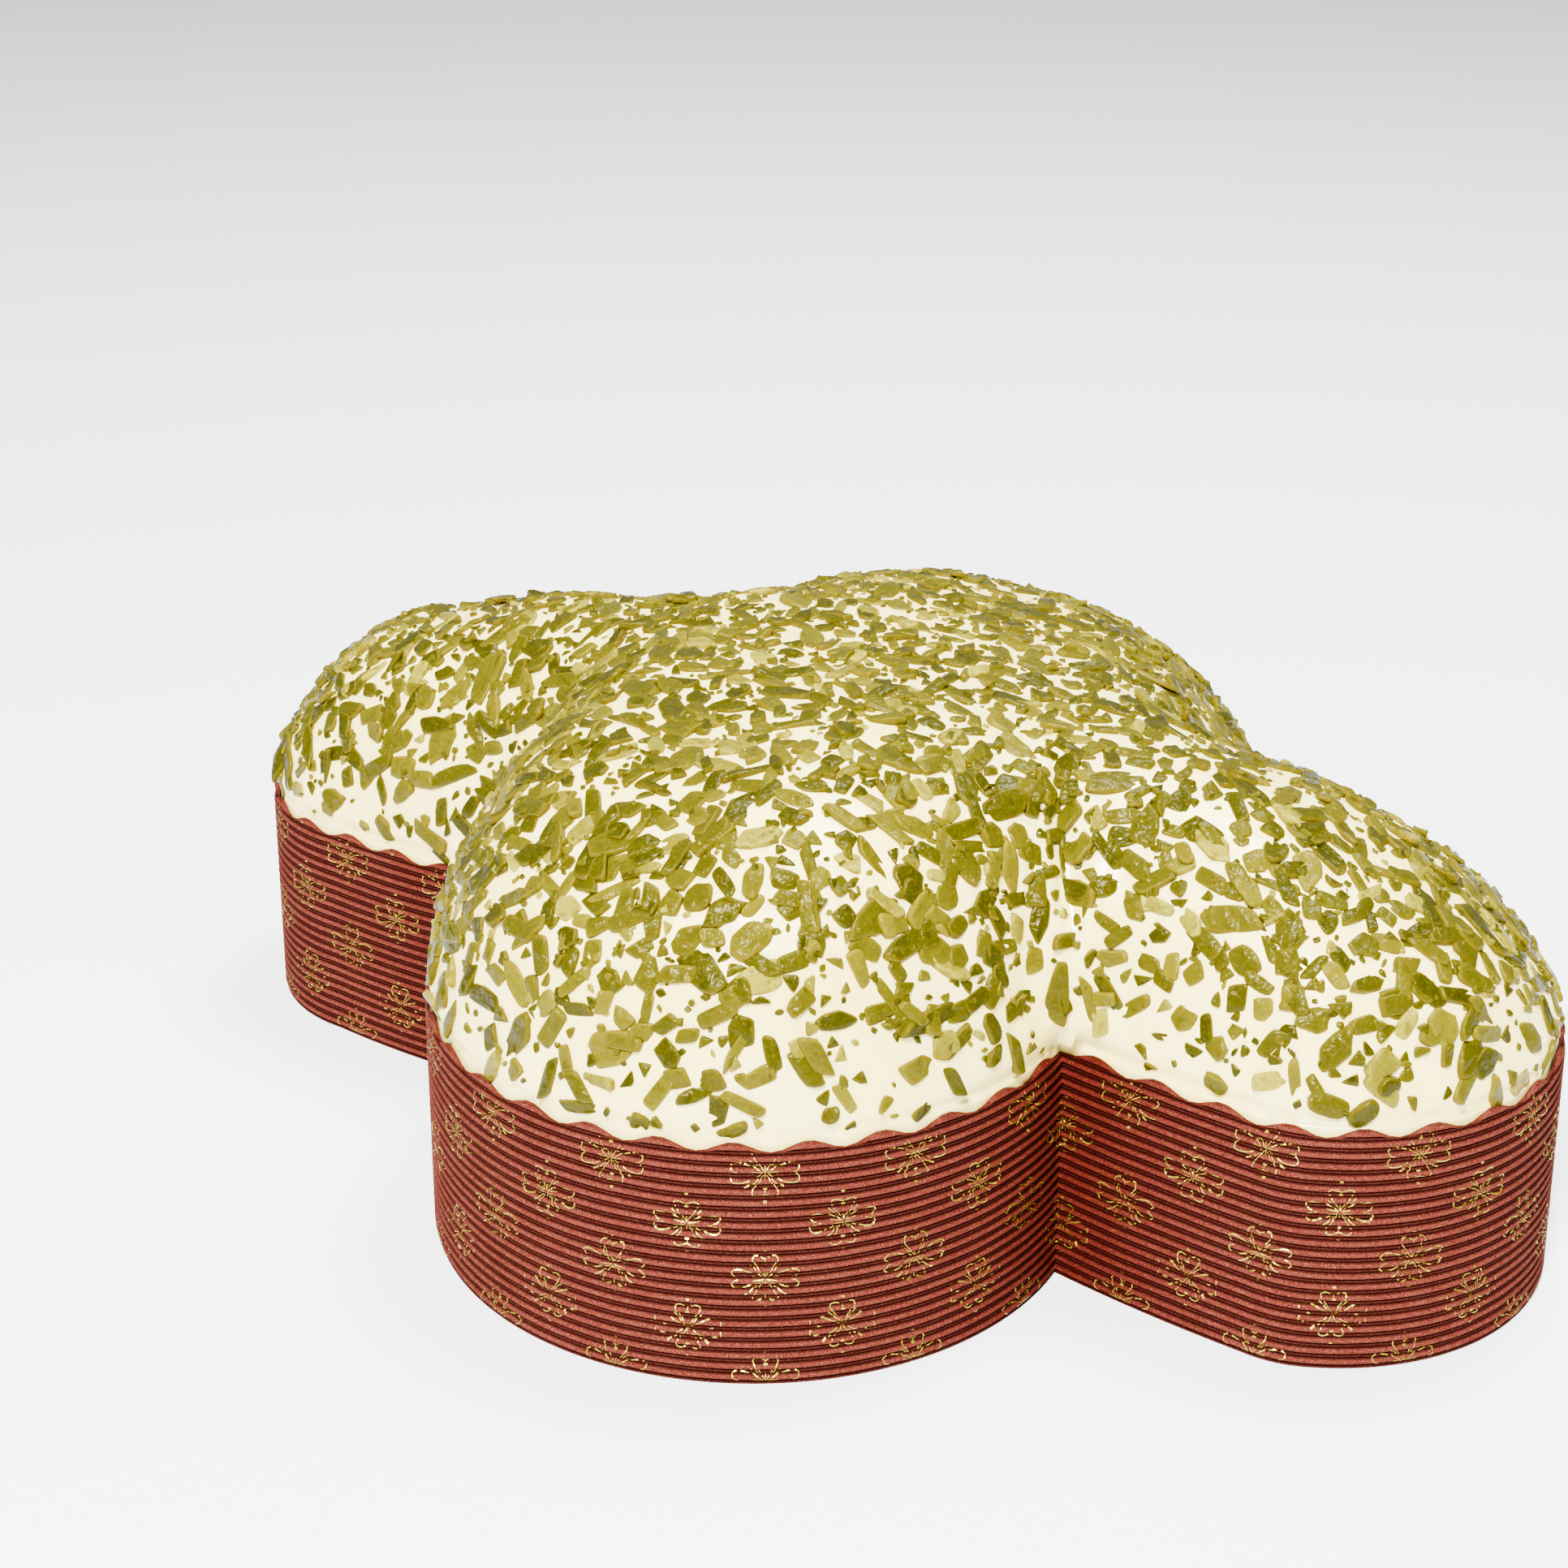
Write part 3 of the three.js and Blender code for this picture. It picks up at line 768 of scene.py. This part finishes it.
@dataclass
class GoldOrnament:
    """A small four-petalled clover in fine gold lines, repeated over the outside of the case."""

    case: PaperCase
    period_along: float = 29.0
    period_up: float = 22.2
    first_level: float = 0.9
    first_place: float = -6.7
    proud: float = 0.07
    boldness: float = 0.54
    deepest: float = 0.9
    step: float = 0.3
    wear_seed: float = 8.4
    worn_size: float = 0.7
    worn_above: float = 0.55

    def strokes(self) -> list[np.ndarray]:
        """The lines of one clover about its middle: rows of across, up and width."""
        upright = [
            (0.1, 0.35, 0.15), (0.65, 1.15, 0.16), (1.3, 2.1, 0.2), (1.95, 3.1, 0.24), (2.4, 3.95, 0.32),
            (2.15, 4.6, 0.38), (1.3, 4.72, 0.34), (0.55, 4.45, 0.26), (0.0, 4.3, 0.2),
        ]
        sideways = [
            (0.35, 0.15, 0.15), (1.3, 0.8, 0.2), (2.6, 1.42, 0.3), (4.0, 1.88, 0.38), (5.3, 2.02, 0.38),
            (6.15, 1.72, 0.36), (6.3, 1.0, 0.32), (5.8, 0.42, 0.26), (5.1, 0.25, 0.18),
        ]
        leaf = [(1.0, 1.1, 0.16), (1.8, 1.85, 0.24), (2.8, 2.6, 0.4), (3.9, 3.2, 0.6)]
        shoot = [(1.2, 1.35, 0.16), (2.0, 2.2, 0.22), (2.8, 2.8, 0.3)]
        lines = []
        for across, up in ((1, 1), (-1, 1), (1, -1), (-1, -1)):
            flip = np.array([across, up, 1.0])
            lines += [rounded(line) * flip for line in (upright, sideways, shoot if up > 0 else leaf)]
            lines.append(np.array([(0.6, 0.2, 0.14), (2.4, 0.45, 0.18)]) * flip)
        for way in (1, -1):
            lines.append(np.array([(-0.36, 3.45 * way, 0.5), (0.36, 3.45 * way, 0.5)]))
            lines.append(np.array([(0.0, 3.4 * way, 0.16), (0.0, 4.25 * way, 0.16)]))
            lines.append(np.array([(4.2 * way, 0.0, 0.3), (4.8 * way, 0.0, 0.4)]))
            lines.append(np.array([(-0.3, 6.05 * way, 0.55), (0.3, 6.05 * way, 0.55)]))
            lines.append(np.array([(0.0, 0.2 * way, 0.14), (0.0, 1.3 * way, 0.14)]))
        return lines

    def finely(self, line: np.ndarray) -> np.ndarray:
        """The same line with a point at each small step."""
        along = np.concatenate([[0], np.cumsum(np.hypot(*np.diff(line[:, :2], axis=0).T))])
        wanted = np.linspace(0, along[-1], max(2, math.ceil(along[-1] / self.step) + 1))
        return np.stack([np.interp(wanted, along, line[:, k]) for k in range(line.shape[1])], 1)

    def laid(self, flat: np.ndarray) -> tuple[np.ndarray, np.ndarray, np.ndarray]:
        """Lays points given along the outline and up onto the fluted paper.

        Args:
            flat: Places along the outline and levels, in millimetres.

        Returns:
            The points in space, how hollow the paper is there, and how far they lie below the rim.
        """
        outline = self.case.outline
        closed = np.vstack([outline, outline[:1]])
        lengths = np.concatenate([[0], np.cumsum(np.hypot(*np.diff(closed, axis=0).T))])
        place = flat[:, 0] % lengths[-1]
        turns = np.interp(place, lengths, np.arange(len(lengths)))
        inward = np.vstack([self.case.inward, self.case.inward[:1]])
        spot = np.stack([np.interp(place, lengths, closed[:, k]) for k in (0, 1)], 1)
        step = np.stack([np.interp(place, lengths, inward[:, k]) for k in (0, 1)], 1)
        hollow = self.case.hollow(flat[:, 1])
        spot = spot + step * (self.case.flute_depth * hollow - self.proud)[:, None]
        level = flat[:, 1] + self.case.sway(spot, flat[:, 1])
        return np.column_stack([spot, level]), hollow, self.case.rim(turns) - flat[:, 1]

    def build(self) -> bpy.types.Object:
        """Builds every clover as one piece of thin foil.

        Returns:
            The piece.
        """
        outline = self.case.outline
        length = np.hypot(*(np.roll(outline, -1, 0) - outline).T).sum()
        columns = 2 * round(length / self.period_along)
        strokes = [self.finely(line) for line in self.strokes()]
        flats = []
        pairs = []
        for column in range(columns):
            level = self.first_level + (self.period_up / 2 if column % 2 else 0) - self.period_up
            while level < self.case.height + 8:
                middle = np.array([(column + 0.5) * length / columns + self.first_place, level])
                for stroke in strokes:
                    line, width = stroke[:, :2], stroke[:, 2:] * self.boldness
                    along = np.gradient(line, axis=0)
                    along /= np.maximum(np.hypot(*along.T), 1e-9)[:, None]
                    across = np.stack([-along[:, 1], along[:, 0]], 1) * width / 2
                    start = sum(len(f) for f in flats)
                    flats.append(np.vstack([middle + line - across, middle + line + across]))
                    pairs += [(start + i, start + len(line) + i, i < len(line) - 1) for i in range(len(line))]
                level += self.period_up
        flat = np.vstack(flats)
        points, hollow, below_rim = self.laid(flat)
        shown = (hollow < self.deepest) & (below_rim > 0.25) & (flat[:, 1] > 0.8)
        shown &= waves(points, self.worn_size, self.wear_seed) < self.worn_above
        faces = []
        for first, second, goes_on in pairs:
            if goes_on and shown[[first, first + 1, second, second + 1]].all():
                faces.append((first, first + 1, second + 1, second))
        used = np.unique(np.array(faces))
        renumbered = np.full(len(points), -1)
        renumbered[used] = np.arange(len(used))
        made = make_mesh("gold_clovers", points[used], renumbered[np.array(faces)])
        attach(made, ROOT)
        made.data.materials.append(GoldFinish().material())
        return made


# ----------------------------------------------------------------------- glaze


@dataclass
class Glaze:
    """The smooth coat of ivory glaze over the crown."""

    crown: CrownShape
    columns_per_lobe: int = 130
    rings: int = 74
    ring_crowding: float = 2.3
    edge_inset: float = 1.8
    edge_drop: float = 2.0
    edge_rise: float = 1.6
    swell_rise: float = 6.0
    swell_hold: float = 12.0
    swell_end: float = 30.0
    swell_inset: float = 0.2
    spine_share: float = 0.6
    spine_reach: float = 88.0
    broad_swell: float = 1.9
    fine_swell: float = 0.5
    side_swell: float = 1.4
    fillet: float = 12.0
    fillet_look: int = 4
    fillet_start: tuple[float, float] = (2.0, 9.0)
    fillet_end: tuple[float, float] = (28.0, 48.0)
    smooth_rise: float = 4.0
    smoothing_passes: int = 8
    notch_reach: float = 30.0
    notch_passes: int = 60

    def inset(self, rise: np.ndarray) -> np.ndarray:
        """How far inside the outline the glaze stands at a height above the rim."""
        out = smoothstep(self.edge_rise, self.swell_rise, rise)
        low = self.edge_inset + (self.swell_inset - self.edge_inset) * out
        return np.where(rise < self.swell_rise, low, self.swell_inset * (1 - smoothstep(self.swell_hold, self.swell_end, rise)))

    def fillets(self, edge: np.ndarray, inward: np.ndarray) -> np.ndarray:
        """The steps that round the outline off in its notches, where the glaze has run together.

        Args:
            edge: The outline's points.
            inward: For each of them, the step that moves its two sides inwards by 1.

        Returns:
            One step in plan for each point.
        """
        count = len(edge)
        steps = np.zeros((count, 2))
        for notch in range(self.columns_per_lobe - 1, count, self.columns_per_lobe):
            arms = []
            for side in (1, -1):
                away = edge[(notch + side * self.fillet_look) % count] - edge[notch]
                arms.append(away / np.hypot(*away))
            half = math.acos(float(np.clip(arms[0] @ arms[1], -1, 1))) / 2
            reach = self.fillet / math.tan(half)
            middle = self.fillet / math.sin(half) - self.fillet
            outward = -inward[notch] / np.hypot(*inward[notch])
            steps[notch] = outward * middle
            for side, arm in ((1, arms[0]), (-1, arms[1])):
                square = outward - arm * (outward @ arm)
                square /= np.hypot(*square)
                for turn in range(1, self.columns_per_lobe // 2):
                    point = (notch + side * turn) % count
                    along = float(np.hypot(*(edge[point] - edge[notch])))
                    if along >= reach:
                        break
                    start = middle * math.cos(half)
                    moved = start + along * (reach - start) / reach
                    rise = self.fillet - math.sqrt(self.fillet**2 - (reach - moved) ** 2)
                    steps[point] = arm * (moved - along) + square * rise
        return steps

    def build(self) -> bpy.types.Object:
        """Builds the coat.

        Returns:
            The piece, which replaces the CAD node glaze.
        """
        plan = self.crown.plan
        edge = plan.outline(self.columns_per_lobe)
        inward = plan.inward(edge)
        count = len(edge)
        spine = np.stack([np.clip(self.spine_share * edge[:, 0], -self.spine_reach, self.spine_reach), np.zeros(count)], 1)
        standing = edge + inward * self.edge_inset
        shares = 1 - (np.arange(1, self.rings + 1) / self.rings) ** self.ring_crowding
        shares = np.concatenate([[0.9985, 0.9965], shares[shares < 0.9945]])
        flat = np.vstack([spine + (edge - spine) * share for share in shares])
        rise = self.crown.height(flat)
        inset = self.inset(rise) + self.side_swell * np.abs(waves(np.column_stack([flat, rise]), 17, 9.4)) * smoothstep(2, 9, rise)
        flat = flat + np.tile(inward, (len(shares), 1)) * inset[:, None]
        held = smoothstep(*self.fillet_start, rise) * (1 - smoothstep(*self.fillet_end, rise))
        flat = flat + np.tile(self.fillets(edge, inward), (len(shares), 1)) * held[:, None]
        body = np.column_stack([flat, self.crown.case_height + rise])
        swell = self.broad_swell * waves(body, 30, 1.3) + self.fine_swell * waves(body, 9, 4.2)
        body[:, 2] += swell * smoothstep(4, 16, rise)
        rims = [np.column_stack([standing, np.full(count, self.crown.case_height + lift)]) for lift in (-self.edge_drop, 0.2, self.edge_rise)]
        points = np.vstack([*rims, body])
        faces = grid_faces(len(rims) + len(shares), count)
        made = make_mesh("ivory_glaze_coat", points, faces)
        notches = edge[self.columns_per_lobe - 1 :: self.columns_per_lobe]
        level = self.crown.case_height + self.smooth_rise
        self.weld(made, level, self.smoothing_passes, notches, self.notch_reach, self.notch_passes)
        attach(made, ROOT)
        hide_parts("glaze")
        made.data.materials.append(GlazeFinish().material())
        return made

    @staticmethod
    def weld(
        made: bpy.types.Object, smooth_above: float, passes: int, notches: np.ndarray, reach: float, notch_passes: int
    ) -> None:
        """Merges the points that meet along the spine, and evens out the creases that run up from the notches.

        Args:
            made: The coat.
            smooth_above: The height in millimetres from which it is evened out.
            passes: How many times each point moves halfway to its neighbours' height.
            notches: The places of the notches in plan.
            reach: How far from a notch the coat is evened out more, in millimetres.
            notch_passes: How many times each point there moves.
        """
        import bmesh

        work = bmesh.new()
        work.from_mesh(made.data)
        bmesh.ops.remove_doubles(work, verts=work.verts, dist=1e-6)
        bmesh.ops.dissolve_degenerate(work, edges=work.edges, dist=1e-7)
        loose = [v for v in work.verts if v.co.z > smooth_above * METRES]
        near = [v for v in loose if min(math.hypot(v.co.x - x * METRES, v.co.y - y * METRES) for x, y in notches) < reach * METRES]
        for turn in range(notch_passes):
            bmesh.ops.smooth_vert(work, verts=loose if turn < passes else near, factor=0.5, use_axis_z=True)
        work.to_mesh(made.data)
        work.free()
        made.data.shade_smooth()


# ------------------------------------------------------------------- pistachio


class Cut(Enum):
    """How a piece of pistachio was cut."""

    BAR = "bar"
    WEDGE = "wedge"
    SLICE = "slice"
    SHARD = "shard"
    CRUMB = "crumb"


@dataclass(frozen=True)
class CutSize:
    """The least and most length, width and thickness of one cut, and its number of pieces."""

    length: tuple[float, float]
    width: tuple[float, float]
    thickness: tuple[float, float]
    count: int


@dataclass
class Pistachio:
    """Chopped pistachio scattered over the glaze, each piece with its own mesh."""

    glaze: bpy.types.Object
    crown: CrownShape
    seed: int = 20260405
    sizes: dict[Cut, CutSize] = field(
        default_factory=lambda: {
            Cut.SLICE: CutSize((7.0, 13.5), (4.0, 7.2), (0.4, 0.9), 270),
            Cut.WEDGE: CutSize((4.2, 7.8), (3.1, 5.4), (0.35, 0.9), 700),
            Cut.BAR: CutSize((4.0, 8.8), (2.1, 3.8), (0.35, 0.9), 900),
            Cut.SHARD: CutSize((2.6, 4.8), (1.8, 3.3), (0.3, 0.7), 1200),
            Cut.CRUMB: CutSize((1.2, 2.6), (0.9, 1.9), (0.2, 0.5), 1300),
        }
    )
    profile: tuple[tuple[float, float, float], ...] = (
        (0.0, 1.05, 1.0),
        (0.45, 1.0, 0.85),
        (0.85, 0.93, 0.5),
        (1.0, 0.77, 0.08),
    )
    unevenness: float = 0.2
    bulge: tuple[float, float] = (-0.5, 0.6)
    corner_rounding: tuple[float, float] = (0.09, 0.22)
    crumb_rounding: tuple[float, float] = (0.14, 0.28)
    raggedness: float = 0.06
    bare_rise: float = 2.5
    full_rise: float = 21.0
    least_cover: float = 0.48
    steep_cover: float = 0.3
    top_cover: float = 0.7
    apart: float = 0.8
    stacked_share: float = 0.13
    stacked_lift: float = 0.6
    tilt_deg: float = 5.0
    stacked_tilt_deg: float = 9.0
    sink: float = 0.6
    cell: float = 8.0

    def outline(self, cut: Cut, draw: np.random.Generator) -> np.ndarray:
        """The outline of one piece for a length and width of 1, with its corners a little rounded.

        Args:
            cut: The cut it has.
            draw: The source of random numbers.

        Returns:
            The outline's points, counter-clockwise.
        """
        loose = draw.uniform(-0.09, 0.09, (8, 2))
        if cut is Cut.BAR:
            slant = draw.uniform(-0.14, 0.14)
            corners = np.array([(-0.5 - slant, -0.5), (0.5 - slant, -0.5), (0.5 + slant, 0.5), (-0.5 + slant, 0.5)])
        elif cut is Cut.WEDGE:
            corners = np.array([(-0.5, -0.42), (0.1, -0.5), (0.5, -0.2), (0.4, 0.42), (-0.34, 0.5)])
        elif cut is Cut.SLICE and draw.random() < 0.5:
            corners = np.array([(-0.5, 0.06), (-0.22, -0.38), (0.18, -0.42), (0.5, -0.1), (0.2, 0.4), (-0.2, 0.42)])
        elif cut is Cut.SLICE:
            corners = np.array([(-0.5, -0.3), (0.1, -0.5), (0.5, -0.36), (0.42, 0.34), (0.06, 0.5), (-0.44, 0.26)])
        elif cut is Cut.SHARD:
            corners = np.array([(-0.5, -0.35), (0.5, -0.42), (0.16, 0.5), (-0.28, 0.3)])[: draw.integers(3, 5)]
        else:
            corners = np.array([(-0.5, -0.3), (0.2, -0.5), (0.5, 0.2), (-0.2, 0.5)])
        corners = corners + loose[: len(corners)]
        if cut is Cut.CRUMB:
            return self.trimmed(corners, draw.uniform(*self.crumb_rounding))
        ring = self.trimmed(corners, draw.uniform(*self.corner_rounding))
        ring = self.trimmed(ring * (1 + draw.normal(0, self.raggedness, (len(ring), 1))), 0.25)
        return ring

    @staticmethod
    def trimmed(corners: np.ndarray, share: float) -> np.ndarray:
        """Cuts every corner of a closed outline off, at a share of the length of its sides."""
        after = np.roll(corners, -1, 0)
        pairs = np.stack([corners * (1 - share) + after * share, corners * share + after * (1 - share)], 1)
        return pairs.reshape(-1, 2)

    def piece(self, cut: Cut, size: Sequence[float], draw: np.random.Generator) -> tuple[np.ndarray, list[tuple[int, ...]], np.ndarray]:
        """One piece lying on its flat face at level 0.

        Args:
            cut: The cut it has.
            size: Its length, width and thickness.
            draw: The source of random numbers.

        Returns:
            Its points, its faces, and how near each point is to the rim of its face.
        """
        ring = self.outline(cut, draw) * np.array(size[:2])
        if draw.random() < 0.5:
            ring = (ring * np.array([1, -1]))[::-1]
        count = len(ring)
        thick = size[2]
        slope = draw.uniform(-0.3, 0.3, 2) * thick / max(size[1], 1)
        lean = draw.uniform(-0.22, 0.22, 2) * thick
        rows = []
        rims = []
        uneven = draw.normal(0, self.unevenness, count)
        uneven = (np.roll(uneven, 1) + 2 * uneven + np.roll(uneven, -1)) / 3
        for level, share, rim in self.profile:
            flat = ring * share
            if level > 0:
                flat = flat + lean * level
                height = thick * level + flat @ slope + uneven
            else:
                height = np.full(count, -self.sink)
            rows.append(np.column_stack([flat, height]))
            rims.append(np.full(count, rim))
        peak = lean + draw.uniform(-0.2, 0.2, 2) * size[:2]
        rows.append(np.array([[*peak, thick + draw.uniform(*self.bulge) * min(1, size[1] / 3)]]))
        rims.append(np.zeros(1))
        faces: list[tuple[int, ...]] = list(grid_faces(len(self.profile), count))
        last = (len(self.profile) - 1) * count
        faces += [(last + i, last + (i + 1) % count, last + count) for i in range(count)]
        faces.append(tuple(range(count))[::-1])
        return np.vstack(rows), faces, np.concatenate(rims)

    def spots(self, draw: np.random.Generator) -> Callable[[], tuple[Vector, Vector]]:
        """A way to draw places on the glaze in proportion to its area.

        Args:
            draw: The source of random numbers.

        Returns:
            A function that gives a place in millimetres and the way the glaze faces there.
        """
        mesh = self.glaze.data
        points = np.array([v.co for v in mesh.vertices])
        triangles = np.array([t.vertices for t in mesh.loop_triangles]) if mesh.loop_triangles else None
        if triangles is None or not len(triangles):
            mesh.calc_loop_triangles()
            triangles = np.array([t.vertices for t in mesh.loop_triangles])
        a, b, c = (points[triangles[:, k]] for k in range(3))
        normal = np.cross(b - a, c - a)
        area = np.linalg.norm(normal, axis=1)
        upto = np.cumsum(area)
        tree = BVHTree.FromPolygons(points.tolist(), triangles.tolist())

        def place() -> tuple[Vector, Vector]:
            """Draws one place."""
            i = int(np.searchsorted(upto, draw.random() * upto[-1]))
            u, v = draw.random(2)
            if u + v > 1:
                u, v = 1 - u, 1 - v
            spot = Vector(a[i] + u * (b[i] - a[i]) + v * (c[i] - a[i]))
            found, facing, _, _ = tree.find_nearest(spot)
            return found / METRES, facing

        return place

    def build(self) -> list[bpy.types.Object]:
        """Scatters all pieces, the largest first, and makes one mesh for each cut.

        Returns:
            The pieces.
        """
        draw = np.random.default_rng(self.seed)
        place = self.spots(draw)
        cells: dict[tuple[int, int, int], list[tuple[np.ndarray, float, float]]] = {}
        made = []
        material = PistachioFinish().material()
        for cut, size in self.sizes.items():
            points: list[np.ndarray] = []
            faces: list[tuple[int, ...]] = []
            rims: list[np.ndarray] = []
            tones: list[np.ndarray] = []
            total = 0
            laid = 0
            for _ in range(40 * size.count):
                if laid >= size.count:
                    break
                spot, facing = place()
                rise = spot.z - self.crown.case_height
                if rise < self.bare_rise:
                    continue
                wanted = self.least_cover + (1 - self.least_cover) * float(smoothstep(4, self.full_rise, np.array(rise)))
                wanted *= self.steep_cover + (1 - self.steep_cover) * float(smoothstep(0.1, 0.7, np.array(facing.z)))
                wanted *= 1 - (1 - self.top_cover) * float(smoothstep(0.85, 0.98, np.array(facing.z)))
                if draw.random() > wanted:
                    continue
                sides = [draw.uniform(*size.length), draw.uniform(*size.width), draw.uniform(*size.thickness)]
                reach = 0.5 * math.sqrt(sides[0] * sides[1])
                here = np.array(spot)
                key = tuple(int(v // self.cell) for v in here)
                near = [
                    other
                    for x in (-1, 0, 1) for y in (-1, 0, 1) for z in (-1, 0, 1)
                    for other in cells.get((key[0] + x, key[1] + y, key[2] + z), [])
                ]
                under = [o for o in near if np.linalg.norm(o[0] - here) < self.apart * (o[1] + reach)]
                if under and (draw.random() > self.stacked_share or len(under) > 2):
                    continue
                lift = max((o[2] for o in under), default=0.0) * self.stacked_lift
                tilt = math.radians(self.stacked_tilt_deg if under else self.tilt_deg)
                body, own_faces, rim = self.piece(cut, sides, draw)
                turned = self.turned(body, facing, draw.uniform(0, 2 * math.pi), draw.normal(0, tilt, 2))
                points.append(turned + here + np.array(facing) * lift)
                faces += [tuple(total + p for p in f) for f in own_faces]
                total += len(body)
                rims.append(rim)
                tones.append(np.full(len(body), self.tone(draw)))
                cells.setdefault(key, []).append((here, reach, lift + sides[2]))
                laid += 1
            piece = make_mesh(f"pistachio_{cut.value}s", np.vstack(points), faces)
            set_number(piece, "rim", np.concatenate(rims))
            set_number(piece, "tone", np.concatenate(tones))
            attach(piece, ROOT)
            piece.data.materials.append(material)
            log.info("%s: %d laid, %d faces", piece.name, laid, len(piece.data.polygons))
            made.append(piece)
        return made

    @staticmethod
    def tone(draw: np.random.Generator) -> float:
        """A tone from 0, deep green, to 1, pale. About one piece in fourteen is pale."""
        return float(draw.uniform(0.8, 1.0) if draw.random() < 0.07 else np.clip(draw.normal(0.36, 0.25), 0, 0.85))

    @staticmethod
    def turned(points: np.ndarray, facing: Vector, spin: float, tilt: np.ndarray) -> np.ndarray:
        """Turns a piece about its own middle so that it lies against a slope.

        Args:
            points: Its points.
            facing: The way the slope faces.
            spin: Its turn about that way, in radians.
            tilt: How much it leans off the slope, in radians, about two axes.

        Returns:
            The turned points.
        """
        up = np.array(facing) / np.linalg.norm(facing)
        side = np.cross(up, (0.0, 1.0, 0.0) if abs(up[1]) < 0.9 else (1.0, 0.0, 0.0))
        side /= np.linalg.norm(side)
        front = np.cross(up, side)
        up = up + tilt[0] * side + tilt[1] * front
        up /= np.linalg.norm(up)
        side -= up * (side @ up)
        side /= np.linalg.norm(side)
        front = np.cross(up, side)
        along = math.cos(spin) * side + math.sin(spin) * front
        across = np.cross(up, along)
        return points @ np.array([along, across, up])


# ----------------------------------------------------------------------- stage


@dataclass
class Studio:
    """A pale floor, soft lights and the camera."""

    camera_place: tuple[float, float, float] = (0.27762, -0.48108, 0.31455)
    camera_pitch_deg: float = 71.1105
    camera_turn_deg: float = 31.605
    lens: float = 64.024
    sensor: float = 36.0
    shift_up: float = -0.13768
    floor_size: float = 14.0
    air: float = 0.75

    def build(self) -> None:
        """Builds the stage."""
        half = self.floor_size / 2
        corners = np.array([(-half, -half, 0), (half, -half, 0), (half, half, 0), (-half, half, 0)]) / METRES
        floor = make_mesh("studio_floor", corners, [(0, 1, 2, 3)])
        floor.data.materials.append(FloorFinish().material())
        world = bpy.data.worlds.new("studio_air")
        world.use_nodes = True
        world.node_tree.nodes["Background"].inputs["Color"].default_value = (1.0, 1.0, 1.0, 1.0)
        world.node_tree.nodes["Background"].inputs["Strength"].default_value = self.air
        bpy.context.scene.world = world
        self.lamp("key_softbox", (0.34, -0.98, 1.2), 150.0, 0.34)
        self.lamp("fill_softbox", (-0.7, -0.8, 0.8), 4.0, 0.5)
        self.lamp("top_softbox", (0.1, 0.35, 1.3), 42.0, 0.4)
        self.camera()

    @staticmethod
    def lamp(name: str, place: tuple[float, float, float], watts: float, size: float) -> None:
        """Adds a square soft light that points at the loaf."""
        data = bpy.data.lights.new(name, "AREA")
        data.energy = watts
        data.size = size
        made = bpy.data.objects.new(name, data)
        made.location = place
        made.rotation_euler = (Vector((0, 0, 0.05)) - Vector(place)).to_track_quat("-Z", "Y").to_euler()
        bpy.context.scene.collection.objects.link(made)

    def camera(self) -> None:
        """Adds the camera at the photograph's angle."""
        data = bpy.data.cameras.new("camera")
        data.sensor_width = self.sensor
        data.lens = self.lens
        data.shift_y = self.shift_up
        made = bpy.data.objects.new("camera", data)
        made.location = self.camera_place
        made.rotation_euler = (math.radians(self.camera_pitch_deg), 0, math.radians(self.camera_turn_deg))
        bpy.context.scene.collection.objects.link(made)
        bpy.context.scene.camera = made


def main() -> None:
    """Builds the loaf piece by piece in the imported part's frame."""
    logging.basicConfig(level=logging.INFO, format="%(name)s: %(message)s")
    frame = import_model()
    bread = frame["nodes"]["bread"]
    bread.data.materials.clear()
    bread.data.materials.append(CrustFinish().material())
    plan = CasePlan()
    crown = CrownShape(plan)
    case = PaperCase(plan)
    paper = case.build()
    log.info("paper case: %d faces", len(paper.data.polygons))
    gold = GoldOrnament(case).build()
    log.info("gold ornament: %d faces", len(gold.data.polygons))
    glaze = Glaze(crown).build()
    log.info("glaze: %d faces", len(glaze.data.polygons))
    Pistachio(glaze, crown).build()
    Studio().build()


if __name__ == "__main__":
    main()
